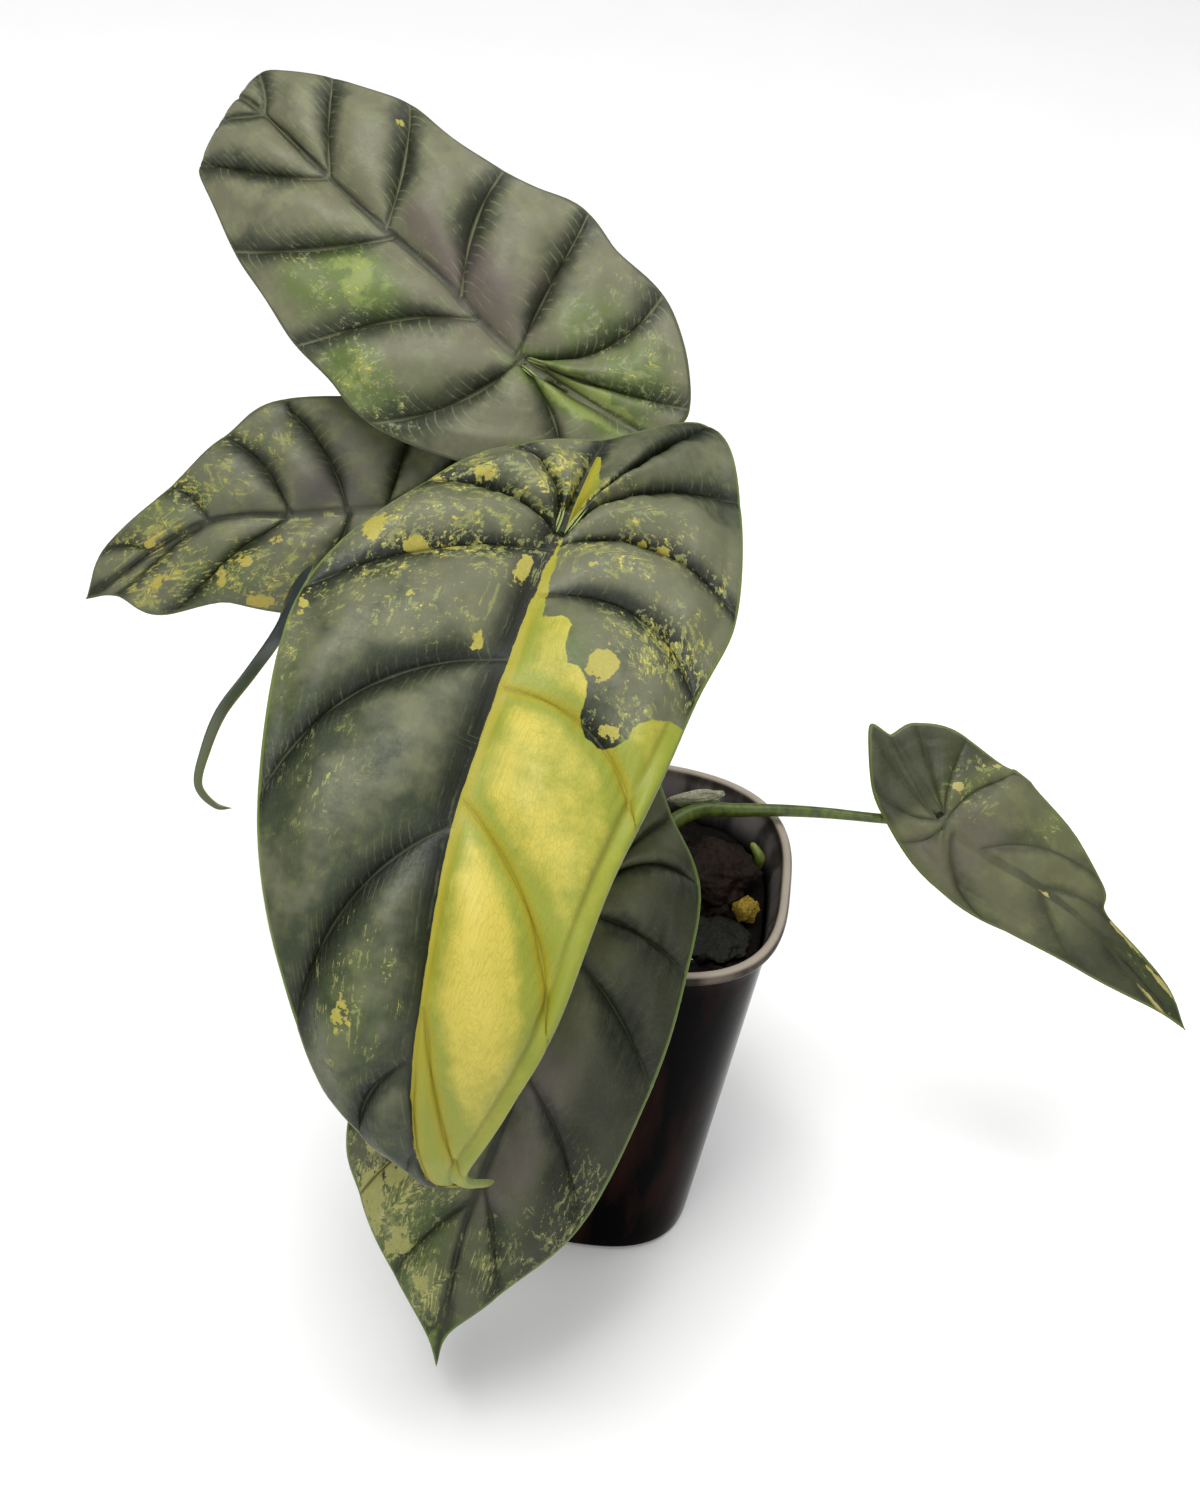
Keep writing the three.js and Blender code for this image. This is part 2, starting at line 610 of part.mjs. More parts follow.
// Potting mix: a filled cup shape with a rough top, chips of bark sunk in it, and plain holes
function mixHeight(x, y) {
  const coarse = Math.sin(0.42 * x + 1.3) * Math.cos(0.37 * y - 0.6);
  const fine = Math.sin(1.1 * x - 0.4) * Math.sin(0.9 * y + 2);
  return MIX_TOP + MIX_WAVE * (0.7 * coarse + 0.3 * fine);
}

function pottingMix(taken) {
  const inside = (z) => wallHalfWidth(z) - POT_WALL - CLEARANCE;
  const floor = POT_FLOOR + CLEARANCE;
  const rings = [squareRing(inside(floor), floor), squareRing(inside(30), 30)];
  for (const share of [1, 0.84, 0.66, 0.46, 0.24]) {
    const ring = squareRing(inside(MIX_TOP - 2) * share, 0);
    rings.push(ring.map(([x, y]) => [x, y, mixHeight(x, y)]));
  }
  let body = solid(loft(rings));
  const random = randomFrom(CHIP_SEED);
  for (let i = 0; i < CHIP_COUNT; i += 1) {
    const angle = 2 * Math.PI * random();
    const reach = 9 + 10 * Math.sqrt(random());
    const x = reach * Math.cos(angle);
    const y = reach * Math.sin(angle);
    const size = CHIP_SIZE * (0.6 + 0.5 * random());
    const half = [size, 0.65 * size, 0.45 * size];
    const chip = pebble({ at: [x, y, mixHeight(x, y) + 0.2], half, turn: 360 * random(), detail: 0 });
    body = body.add(solid(chip));
  }
  for (const thing of taken) {
    body = body.subtract(thing);
  }
  return geometryOf(largestBody(body));
}

const plant = new THREE.Group();

function place(name, geometry, material) {
  const mesh = new THREE.Mesh(geometry, material);
  mesh.name = name;
  plant.add(mesh);
}

place("pot", pot(), finish(COLOURS.pot, 0.15));

const taken = [crownBody(CLEARANCE), solid(sprout(CLEARANCE))];
let crown = crownBody(0);
for (const leaf of Object.values(LEAVES)) {
  const room = solid(stalk(leaf, CLEARANCE));
  taken.push(room);
  crown = crown.subtract(room);
}
place("crown_and_roots", geometryOf(largestBody(crown)), finish(COLOURS.crown, 0.6));

for (const [name, shape] of Object.entries(LOOSE)) {
  taken.push(solid(pebble(shape, CLEARANCE)));
  place(name, pebble(shape), finish(shape.colour, 0.8));
}
place("sprout", sprout(), finish(COLOURS.sprout, 0.5));
place("potting_mix", pottingMix(taken), finish(COLOURS.mix, 0.9));

for (const [name, leaf] of Object.entries(LEAVES)) {
  const isYoung = name === "young";
  const colour = isYoung ? COLOURS.youngBlade : COLOURS.blade;
  place(`stalk_${name}`, stalk(leaf), finish(COLOURS.stalk, 0.45));
  place(`blade_${name}`, blade(leaf), finish(colour, 0.5));
}

export default plant;
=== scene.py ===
import math

import bmesh
import bpy
import numpy as np
from bpy.props import FloatProperty, FloatVectorProperty, IntProperty, PointerProperty
from mathutils import Matrix, Vector


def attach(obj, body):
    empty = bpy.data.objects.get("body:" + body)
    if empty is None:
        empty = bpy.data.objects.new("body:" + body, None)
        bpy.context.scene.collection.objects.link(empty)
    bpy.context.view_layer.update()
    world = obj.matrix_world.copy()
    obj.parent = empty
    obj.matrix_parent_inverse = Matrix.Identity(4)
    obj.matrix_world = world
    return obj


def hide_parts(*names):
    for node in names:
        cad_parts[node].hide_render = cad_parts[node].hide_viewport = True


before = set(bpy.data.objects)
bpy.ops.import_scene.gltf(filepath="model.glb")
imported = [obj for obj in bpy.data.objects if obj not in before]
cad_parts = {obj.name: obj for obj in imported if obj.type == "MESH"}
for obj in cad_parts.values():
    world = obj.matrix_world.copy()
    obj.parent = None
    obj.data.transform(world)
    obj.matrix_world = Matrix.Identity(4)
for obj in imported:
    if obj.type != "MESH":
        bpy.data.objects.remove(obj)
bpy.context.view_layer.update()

bl_info = {
    "name": "Silver dragon alocasia in its nursery pot",
    "version": (1, 0, 0),
    "blender": (4, 5, 0),
    "location": "3D View > Sidebar > Alocasia",
    "description": "Builds the leaves, stalks, crown, potting mix and smoky pot over the packed frame",
    "category": "Add Mesh",
}

MM = 0.001


# Sizes that the solids use too, in millimetres

POT_HEIGHT = 70
POT_HALF_WIDTH = 28.8
POT_FOOT_HALF_WIDTH = 21.2
POT_SQUARENESS = 3
POT_WALL = 0.8
POT_FLOOR = 1.5
RIM_HEIGHT = 3
RIM_STAND_OUT = 1.6
DRAIN_RADIUS = 2.4
DRAIN_RING = 14
DRAIN_COUNT = 6
MIX_TOP = 61.5
MIX_WAVE = 0.9
CLEARANCE = 0.32
CROWN_FOOT = 46
CROWN_TOP = 69
CROWN_RADIUS = 6.6
ROOT_COUNT = 6
ROOT_RADIUS = 1.3
ROOT_REACH = 14
ROOT_END = 14
MIDRIB_HALF_WIDTH = 0.7
PUFFED_REACH = 12
QUILT = 1.3

# Finer sizes that only this script has, in millimetres

RIM_FOOT = POT_HEIGHT - RIM_HEIGHT
RIM_BEAD_WIDTH = 1.05
RIM_BEAD_HEIGHT = 1.2
FLOOR_RINGS = (17.5, 10.5, 7, 3)
MARGIN_LIFT = 0.12
YELLOW_LIFT = 0.6
ROLL_WIDTH = 2.3
ROLL_GROOVE = 2.9
CREASE_DEPTH = 0.22
PUCKER_DEPTH = 0.09
PUCKER_PITCH = 2.3
BILLOW_DEPTH = 0.22
RIB_HEIGHT = 0.45
KEEL_HEIGHT = 1.1
EDGE_ROUNDING = 0.6
STALK_GAP = 0.5
STALK_NECK = 3.5

# Shares: how rows crowd at the veins, columns at the margin, and where a blade's tip turns flat

ROW_CROWDING = 0.72
COLUMN_CROWDING = 1.3
TIP_FLATTENS = (0.78, 0.92)

# Counts: the midrib's point over the stalk, the last row that starts there, and steps along lines

JOINT_ON_MIDRIB = 1
FAN_ROWS = 2
MIDRIB_STEPS = 360
VEIN_STEPS = 25

# Waves that chip a lump's surface: how tight and how high, on a ball of radius 1
CHIPPED_WAVES = ((4, 0.05), (6, 0.04), (9, 0.03), (13, 0.022), (19, 0.014), (27, 0.01))

# The stage, in metres and watts: name, place, target, size and power of each light
FLOOR_HALF_SIZE = 3.0
LIGHTS = (
    ("window", (-0.2, -0.2, 0.95), (-0.02, 0, 0.1), 0.5, 8.3),
    ("sky_panel", (0.3, 0.3, 0.9), (0, 0, 0.1), 0.7, 3.4),
    ("fill", (0.1, -0.9, 0.5), (0, 0, 0.08), 0.8, 4),
)
SKY_COLOUR = "#f6f7f9"
SKY_STRENGTH = 0.33
# The camera stands where the photograph's did; its lens and sensor are in millimetres
CAMERA_PLACE = (0, -0.39293, 0.37920)
CAMERA_FORWARD = (-0.0125, 0.8066, -0.5909)
CAMERA_UP = (-0.1563, 0.5821, 0.7979)
LENS_LENGTH = 72
SENSOR_WIDTH = 36

# Each leaf, in millimetres and degrees: the midrib's points, with the second one over the stalk; the
# way the joint faces; "arch", the slope out from the midrib and its turn per 10 mm, and "left_arch"
# where the left half differs; and each side's veins: start along the midrib, end along it, end out
# from it, and bow. "relief" is how much the panels swell and "scallop" how much the margin draws in
# between veins. Silver is full at "spread" from a vein, and its dark valley is "dark" wide. Rows are
# counted in each panel, and columns from the midrib to the margin.
LEAVES = {
    "front": {
        "midrib": [(-12.5, 2, 147.5), (-16.5, -19, 142.5), (-20, -42.5, 134.5), (-23.5, -65, 122),
                   (-24, -80.1, 106), (-23.5, -85.1, 88.5), (-20, -82.3, 71), (-11.5, -69.5, 60)],
        "face": (0.1, -0.3, 0.95),
        "arch": [(-4, 5), (-2, 5), (4, 5), (8, 6)],
        "left_arch": [(-4, 5), (-2, 5), (4, 5), (8, 8)],
        "right": [(0, -22, 0, 0), (0, -32.5, 14, 0.03), (0, -20, 23, 0.13), (2, 2, 29, 0.18),
                  (12, 20.5, 27.2, 0.22), (29, 44, 24.8, 0.18), (47.5, 83, 18, 0.13), (77, 113, 5, 0.1),
                  (122, 130, 0, 0)],
        "left": [(0, -22, 0, 0), (0, -14.2, 11.2, 0.15), (0, -1.5, 21.5, 0.12), (3.5, 22, 32.5, 0.06),
                 (24.5, 53.5, 28, 0.13), (51.5, 83.5, 17, 0.13), (85, 99.5, 8, 0.15),
                 (102, 108, 2.5, 0.05), (122, 130, 0, 0)],
        "relief": 2.7, "spread": 7.0, "dark": 3.9, "rows": 22, "columns": 52,
        "stalk": [(-2.3, -3.5, 58), (-5, -6.5, 72), (-10, -9.5, 98), (-14.5, -14, 124)],
        "stalk_radius": (1.7, 1.2),
    },
    "top": {
        "midrib": [(-8, 27.5, 135), (-28.5, 33.5, 141.5), (-44, 41.5, 150), (-60.5, 51, 156.5),
                   (-77.8, 64.3, 162.6), (-83, 69.3, 162.3), (-82.5, 75.5, 156.5)],
        "face": (0, -0.78, 0.62),
        "arch": [(-2, 4), (-2, 4), (4, 6)],
        "right": [(0, -23.5, 0, 0), (0, -14.5, 11.5, 0.12), (0, 9, 24.5, 0.05), (10, 29.5, 24, -0.03),
                  (29.5, 48, 19.7, 0.03), (45, 67, 13.6, 0.06), (62, 71.5, 6.3, 0.04), (76, 79.5, 0, 0)],
        "left": [(0, -23.5, 0, 0), (0, -27.5, 7.5, 0.03), (0, -14.5, 21.5, 0.16), (1, 11, 25, 0.02),
                 (14.5, 23.5, 20, -0.08), (31.5, 45, 18.2, 0.07), (45, 58.5, 12.4, -0.02),
                 (62, 69, 5.6, 0.03), (75, 79, 0, 0)],
        "relief": 2.6, "scallop": 0.03, "spread": 7.5, "dark": 4.6, "rows": 20, "columns": 46,
        "stalk": [(0, 0.3, 58), (-0.5, 3, 75), (-9, 14, 104), (-20, 30, 128)],
        "stalk_radius": (1.7, 1.2),
    },
    "left": {
        "midrib": [(-32.5, 30.5, 117.5), (-47, 27.5, 113.5), (-61.5, 26, 110.5), (-78, 25, 106),
                   (-96, 22.5, 89.5)],
        "face": (0, -0.79, 0.6),
        "arch": [(0, 4), (0, 4), (5, 6)],
        "right": [(0, -15, 0, 0), (0, -7, 15, 0.12), (0, 4, 16.5, 0.03), (6.5, 16.5, 16.5, 0.06),
                  (17, 45, 10.5, 0.08), (32, 52, 2.5, 0.06), (53.5, 57, 0, 0)],
        "left": [(0, -15, 0, 0), (0, -15, 8.5, 0.09), (0, -8.5, 17, 0), (7, 17.5, 19.5, 0.08),
                 (16.5, 26.5, 13.5, 0.06), (30.5, 34.5, 8, 0.06), (42, 50, 5.5, 0.08),
                 (53.5, 57, 0, 0)],
        "relief": 1.8, "spread": 5.0, "dark": 2.9, "rows": 18, "columns": 40,
        "stalk": [(-2.7, 3.2, 58), (-6.5, 8, 72), (-24, 18, 92), (-42, 31, 104)],
        "stalk_radius": (1.5, 1),
    },
    "lower": {
        "midrib": [(3, -18, 102.5), (-2.5, -32, 90.5), (-7, -43.5, 75), (-11.5, -52.5, 56.5),
                   (-15.5, -59.5, 36.5), (-16.5, -65, 12.5)],
        "face": (0.03, -0.71, 0.7),
        "arch": [(0, 3), (0, 4), (5, 5)],
        "right": [(0, -19.5, 0, 0), (0, -14, 5.5, 0.05), (0, -5.5, 14.5, 0.2), (5.5, 9, 18, 0.08),
                  (12.5, 28, 19.5, 0.06), (32.5, 55, 17, 0.08), (51.5, 72, 7.5, 0.06),
                  (77.5, 80.5, 1, 0), (82, 87, 0, 0)],
        "left": [(0, -19.5, 0, 0), (0, -10.5, 7, 0.09), (0, 8, 21.5, 0.06), (5.5, 27.5, 25.5, 0.11),
                 (21.5, 52, 23, 0.08), (37, 61.5, 17.5, 0.06), (55.5, 72, 9.5, 0.03),
                 (77.5, 81.5, 2.5, 0.05), (82, 87, 0, 0)],
        "relief": 1.6, "spread": 6.5, "dark": 2.6, "rows": 18, "columns": 44,
        "stalk": [(2.1, -3.6, 58), (2.8, -8, 70), (1, -17, 80), (-2, -25, 83)],
        "stalk_radius": (1.6, 1.1),
    },
    "right": {
        "midrib": [(42, 25.5, 85.5), (52.5, 16.5, 76.5), (60.5, 13, 73), (71, 10.5, 69.5),
                   (83.5, 7, 63), (100.5, 3.5, 49)],
        "face": (0, -0.6, 0.8),
        "arch": [(-4, 6), (-2, 6), (5, 5)],
        "left_arch": [(-4, 6), (20, 8), (15, 5)],
        "right": [(0, -16.5, 0, 0), (0, -16, 5, 0), (0, -9.5, 11.5, 0.05), (1, 8.5, 15.5, 0.25),
                  (9, 28.5, 7.5, 0.22), (21.5, 33, 3.5, 0.06), (35, 49, 3, 0.1), (53.5, 57, 0, 0)],
        "left": [(0, -16.5, 0, 0), (0, -19.5, 2.5, -0.03), (0, -10, 7.5, -0.1), (1.5, -1, 8.5, -0.1),
                 (3.5, 16, 10, 0.12), (21, 36.5, 6.5, 0.13), (35, 51, 1.5, 0.1), (53.5, 57, 0, 0)],
        "relief": 0.6, "spread": 5.0, "dark": 1.2, "rows": 18, "columns": 40,
        "stalk": [(3.8, 1.7, 58), (5.7, 7.4, 69.3), (11, 12.6, 72.4), (18.5, 15.5, 72), (26, 17, 72.3),
                  (34, 18.3, 72.3), (43.5, 18.8, 72.6)],
        "stalk_radius": (1.6, 1.4, 1.1, 0.85, 0.85),
    },
}

# The young blade is folded down along its midrib: distance from the joint, wing width and fold.
YOUNG = {
    "midrib": [(-56.5, 14.5, 109.5), (-58.5, 11, 106.5), (-61, 5.5, 101), (-64.5, 0.5, 95.5),
               (-68, -4.5, 90.5), (-69.5, -8.5, 85), (-69.5, -12, 80.5), (-66, -13.5, 78),
               (-63, -13.5, 78.5)],
    "face": (-0.7, -0.35, 0.62),
    "outline": [(-4, 0.7, 12), (0, 1.7, 12), (4, 2.3, 25), (14, 2.3, 60), (27, 2, 60),
                (38.5, 1.2, 60), (44.5, 0.6, 60)],
    "thickness": 0.5,
    "stalk": [(-4.2, 0, 58), (-9.5, 1, 70), (-27, 5, 88), (-48, 9, 100.5)],
    "stalk_radius": (1.3, 0.7), "stalk_gap": 0.42,
}

# Markings of each blade: (side, along, out, half length, half width, strength), millimetres on the
# blade, with side 1 for its right half and -1 for its left.
# "cream" are solid patches, "fleck" is where small flecks crowd, "green" and "plum" are soft tints.
MARKS = {
    "front": {
        "cream": [(1, 22, 12.6, 2.6, 2.4, 1), (1, 30.5, 16.5, 1.2, 2.2, 0.7), (-1, 9.8, 25.4, 2.6, 1.6, 1),
                  (-1, 10.5, 18.5, 1.4, 2.6, 0.85), (-1, 9.5, 13.6, 1.1, 2, 0.75), (-1, 9, 3, 3.2, 1.2, 1),
                  (-1, -4.9, 13.7, 1.1, 2.2, 0.75), (-1, -2.4, 19.6, 1, 2, 0.65),
                  (-1, 20.8, 16.5, 1.2, 0.9, 0.8), (-1, 23.6, 5.4, 1.6, 1.1, 0.9),
                  (-1, 25, 31.2, 3.4, 0.9, 0.7), (-1, 78.4, 10.7, 3.2, 1.8, 0.62),
                  (1, -3.4, 12, 0.8, 0.8, 0.9), (1, -3.6, 15.2, 0.8, 1.4, 0.9), (1, 5.2, 6.4, 0.7, 0.7, 0.8)],
        "fleck": [(-1, -5, 14, 8, 10, 0.8), (-1, 6, 15, 7, 14, 0.7), (-1, 10, 16, 3, 14, 1),
                  (-1, 17, 20, 8, 12, 0.55), (-1, -9, 4, 7, 5, 1), (1, -9, 4, 6, 3, 0.8),
                  (1, 3, 7, 3, 6, 0.9), (-1, 76, 9, 10, 6, 0.35), (1, -4, 12, 5, 9, 0.6),
                  (1, 15, 20, 6, 7, 1), (1, 27, 16, 5, 5, 0.35), (1, -1, 25, 5, 4, 0.5),
                  (-1, 30, 32, 9, 3, 0.6), (-1, 50, 20, 12, 8, 0.2)],
        "green": [(1, -8, 12, 9, 8, 0.4), (-1, -2, 14, 8, 12, 0.5), (1, 15, 20, 8, 9, 0.2),
                  (1, 22, 6, 7, 5, 0.9), (1, 60, 14, 12, 4, 0.6), (1, 92, 3, 9, 4, 0.8),
                  (1, 37, 20, 7, 5, 0.7), (1, 40, 12, 9, 7, 0.95), (1, 48, 3, 5, 3, 0.5),
                  (-1, 78, 9, 12, 7, 0.55), (-1, 60, 20, 14, 6, 0.35), (-1, 38, 30, 16, 4, 0.5)],
    },
    "top": {
        "cream": [(-1, 42.7, 14.4, 0.7, 0.6, 1), (1, 79, 3, 0.7, 0.5, 0.6)],
        "fleck": [(1, 15, 20.5, 8, 4, 0.7), (1, 30, 12, 9, 6, 0.45), (-1, -17, 7, 6, 8, 0.5),
                  (1, 74, 4, 6, 4, 0.35), (-1, -6, 15, 6, 7, 0.35)],
        "green": [(1, 28, 9.5, 9, 4.5, 1.3), (1, 33, 15, 8, 6, 0.8), (1, 16, 21, 9, 5, 1.1),
                  (1, -12, 0.5, 11, 2.6, 1.8), (-1, -12, 0.5, 11, 2.6, 1.8),
                  (-1, -17, 6, 7, 8, 0.9), (-1, -6, 11, 8, 8, 0.7), (1, 44, 6, 5, 5, 0.35),
                  (-1, 4, 16, 7, 7, 0.35), (1, 7, 15, 6, 6, 0.5), (-1, -10, 2, 12, 2, 0.8)],
        "plum": [(-1, 13, 3, 13, 6, 1), (-1, 24, 4, 10, 5, 0.7), (1, 12, 2.5, 10, 4, 0.5),
                 (-1, 6, 8, 7, 7, 0.6)],
    },
    "left": {
        "cream": [(1, 22, 14.2, 3, 1.2, 1), (-1, 41, 1.5, 2.4, 1, 0.7), (1, 24, 8, 1.6, 1.4, 0.8),
                  (1, 30, 10, 2, 1.6, 0.8), (1, 18.5, 4.5, 1.4, 1, 0.8), (1, 43, 5, 2.4, 1.2, 0.7)],
        "fleck": [(1, 24, 11, 9, 5, 1), (1, 42, 5, 9, 4, 0.9), (-1, 31, 7, 7, 4, 0.7),
                  (-1, 40, 2, 9, 2.5, 0.8), (-1, 20, 13, 6, 4, 0.4), (1, 14, 3, 8, 3, 0.5)],
        "green": [(1, 30, 9, 16, 6, 0.7), (-1, 36, 5, 12, 5, 0.6), (-1, 19, 13, 7, 5, 0.4)],
        "plum": [(-1, 8, 5, 9, 7, 0.7)],
    },
    "lower": {
        "cream": [(-1, 60, 15.5, 4, 2.6, 0.8), (-1, 66, 9.5, 4, 2.4, 0.75), (-1, 55, 13, 3, 2.2, 0.75),
                  (-1, 64, 14, 3, 1.6, 0.7), (-1, 72, 4.5, 3, 1.4, 0.7), (-1, 52, 18, 2.4, 2, 0.6)],
        "fleck": [(-1, 60, 13, 10, 8, 1.3), (-1, 72, 4, 7, 4, 1.2), (1, 54, 15, 9, 5, 0.75),
                  (1, 66, 6, 8, 5, 0.7), (-1, 48, 18, 8, 6, 0.4)],
        "green": [(-1, 66, 8, 14, 8, 0.9), (1, 66, 6, 12, 6, 0.6), (1, 52, 14, 9, 5, 0.4),
                  (-1, 82, 1, 6, 3, 1), (1, 82, 1, 6, 3, 1), (1, 20, 12, 14, 8, 0.35)],
        "plum": [(1, 36, 3, 12, 6, 0.9), (1, 48, 3, 10, 6, 0.7), (-1, 42, 5, 12, 6, 0.5)],
    },
    "right": {
        "cream": [(1, -2.7, 5.3, 0.9, 0.8, 1), (1, -1.9, 13.2, 1, 0.7, 0.9), (-1, 21.5, 0.2, 3, 0.35, 1),
                  (1, 37, 2.9, 4, 0.45, 1), (1, 48, 2.2, 5, 0.4, 1), (-1, 50, 1, 6, 0.35, 0.8)],
        "fleck": [(1, 0, 9, 6, 7, 0.35), (1, 18, 10, 6, 4, 0.2), (1, 46, 2, 9, 2, 0.3)],
        "green": [(1, -5, 8, 9, 9, 0.55), (1, 18, 10, 8, 5, 0.5), (-1, 36, 4, 14, 4, 0.4),
                  (1, 46, 2, 12, 3, 0.7)],
        "plum": [(-1, 6, 4, 8, 5, 0.7), (1, 8, 3, 8, 5, 0.7), (-1, 20, 4, 8, 4, 0.4)],
    },
}

# Edge of the front blade's yellow half, on its right side: (along, out)
YELLOW_HALF = [(-18, -2), (-18, 0.9), (-15.5, 1.7), (-11, 2.7), (-7, 2.5), (-3, 1.5), (-1, 0.9), (0, 0.85),
               (2, 0.95), (6, 1.3), (12, 1.8), (16.4, 2.4), (15.6, 5.1), (17.3, 6.7), (20.7, 6.7),
               (23.3, 7.8), (23.5, 9.7), (25, 11.5), (27.4, 11.9), (30, 12.2), (32.3, 13.2), (33.1, 15.7),
               (32.1, 18.1), (30.7, 19.6), (28.8, 19.7), (28, 20.9), (25.6, 24.1), (25, 34), (80, 60),
               (160, 40), (160, -2)]

# Small things on the mix: middle, half sizes and turn about +Z in degrees; finish, seed, how chipped
# they are and how tight the chips are along X; and their stuff: name, dark and light colour, width of
# its fibres, depth of its pits and roughness
LOOSE = {
    "bark_chunk": ((15.4, 7.4, 63.9), (7.3, 7, 4.8), 0, "bark", 31, 1.0, 0.4,
                   ("orchid_bark", "#0b0604", "#281a12", 2.6, 0.6, 0.7)),
    "grey_flake": ((16.5, -8.3, 62.6), (7, 5.4, 1.1), 10, "bark", 32, 0.6, 1.0,
                   ("weathered_bark", "#0a0a08", "#23241d", 1.8, 0.3, 0.6)),
    "yellow_pellet": ((22, -0.8, 63.8), (2.1, 1.9, 2.3), 0, "pellet", 33, 1.0, 1.0,
                      ("clay_pellet", "#5f4f18", "#a58c33", 0.9, 0.2, 0.8)),
    "pale_husk": ((11, 15.3, 73.2), (4.8, 0.9, 1.6), 22, "husk", 34, 0.8, 0.25,
                  ("dry_sheath", "#77775f", "#a5a58c", 0.9, 0.25, 0.75)),
}
SPROUT = [(22.3, 14, 59), (23.4, 12.6, 64), (23, 12.4, 65.8), (21.6, 13.4, 67.2)]
SPROUT_RADIUS = (0.6, 0.9, 1, 0.5)


# Curves and numbers

def through(points, t):
    """A smooth curve through the points, with t counted in points."""
    points = np.asarray(points, float)
    t = np.asarray(t, float)
    last = len(points) - 1
    i = np.clip(np.floor(t).astype(int), 0, last - 1)
    f = (t - i)[..., None]
    b, c = points[i], points[i + 1]
    a = np.where((i > 0)[..., None], points[np.maximum(i - 1, 0)], 2 * b - c)
    d = np.where((i + 2 <= last)[..., None], points[np.minimum(i + 2, last)], 2 * c - b)
    cubic = (2 * a - 5 * b + 4 * c - d) * f ** 2 + (3 * b - a - 3 * c + d) * f ** 3
    return 0.5 * (2 * b + (c - a) * f + cubic)


def between(rows, t):
    """Straight interpolation over evenly spread rows, with t from 0 to 1."""
    rows = np.asarray(rows, float)
    x = np.clip(t, 0, 1) * (len(rows) - 1)
    i = np.minimum(np.floor(x).astype(int), len(rows) - 2)
    f = (x - i)[..., None]
    return rows[i] + (rows[i + 1] - rows[i]) * f


def unit(vectors):
    """The vectors at length 1."""
    return vectors / np.maximum(np.linalg.norm(vectors, axis=-1, keepdims=True), 1e-12)


def smooth(x, low, high):
    """A soft step from 0 at low to 1 at high."""
    t = np.clip((x - low) / (high - low), 0, 1)
    return t * t * (3 - 2 * t)


def linear(hex_colour):
    """An sRGB hex colour as linear RGBA."""
    parts = [int(hex_colour[i:i + 2], 16) / 255 for i in (1, 3, 5)]
    return [p / 12.92 if p <= 0.04045 else ((p + 0.055) / 1.055) ** 2.4 for p in parts] + [1]


def distance_along(place):
    """How far along its line each point is."""
    return np.concatenate([[0], np.cumsum(np.linalg.norm(np.diff(place, axis=0), axis=1))])


def distance_to_line(s, q, line):
    """Distance from each flat point to a line of points."""
    best = np.full(s.shape, 1e9)
    for (s0, q0), (s1, q1) in zip(line[:-1], line[1:]):
        ds, dq = s1 - s0, q1 - q0
        size = max(ds * ds + dq * dq, 1e-12)
        t = np.clip(((s - s0) * ds + (q - q0) * dq) / size, 0, 1)
        best = np.minimum(best, np.hypot(s - s0 - t * ds, q - q0 - t * dq))
    return best


def inside_loop(s, q, loop):
    """True where a flat point is inside a closed loop."""
    inside = np.zeros(s.shape, bool)
    for (s0, q0), (s1, q1) in zip(loop, loop[1:] + loop[:1]):
        if s0 == s1:
            continue
        inside ^= ((s0 > s) != (s1 > s)) & (q < (q1 - q0) * (s - s0) / (s1 - s0) + q0)
    return inside


# Materials

# Nodes that are used again and again: their type, the output wanted and their usual settings
BLEND = ("ShaderNodeMix", 2, {"data_type": "RGBA"})
RANGE = ("ShaderNodeMapRange", 0, {"interpolation_type": "SMOOTHSTEP"})
EVEN_RANGE = ("ShaderNodeMapRange", 0, {})
TIMES = ("ShaderNodeMath", 0, {"operation": "MULTIPLY"})
TIMES_PLUS = ("ShaderNodeMath", 0, {"operation": "MULTIPLY_ADD"})
NOISE = ("ShaderNodeTexNoise", "Fac", {})
NOISE_COLOUR = ("ShaderNodeTexNoise", "Color", {})
PLACE = ("ShaderNodeTexCoord", "Object", {})
FIELD = ("ShaderNodeAttribute", "Fac", {})
HEIGHT = ("ShaderNodeSeparateXYZ", "Z", {})
RANDOM_NUMBER = ("FunctionNodeRandomValue", 1, {"data_type": "FLOAT"})
MATH, VECTOR, MAPPING = "ShaderNodeMath", "ShaderNodeVectorMath", "ShaderNodeMapping"
BUMP, SHADER, OUTPUT = "ShaderNodeBump", "ShaderNodeBsdfPrincipled", "ShaderNodeOutputMaterial"

# Values that each point of a blade carries
LEAF_FIELDS = ("vein", "margin", "along", "valley", "panel", "upper", "cream", "fleck", "green", "plum",
               "yellow")

# Colours of the silver leaf: valley and depth are the colour and strength of the dark vein valleys, partly
# the leaf's own deep green and partly painted shade
SILVER_LEAF = {
    "silver": "#5c5d47", "deep": "#2d3422", "line": "#868a6c", "valley": "#10140b", "green": "#46591f",
    "fresh": "#7c8638", "plum": "#4c4745", "mottle": "#7e824c", "cream": "#a99f4c", "cream_deep": "#878034",
    "yellow": "#b3a547", "lime": "#7a832c", "gold": "#93871f", "lime_deep": "#6a6d20", "rib": "#262b15",
    "rib_yellow": "#7a7420", "border": "#64742f", "under": "#767d5c", "under_rib": "#8a9659",
    "under_yellow": "#a9a455", "hairs": 0.12, "depth": 0.93, "haze": 0.14,
}
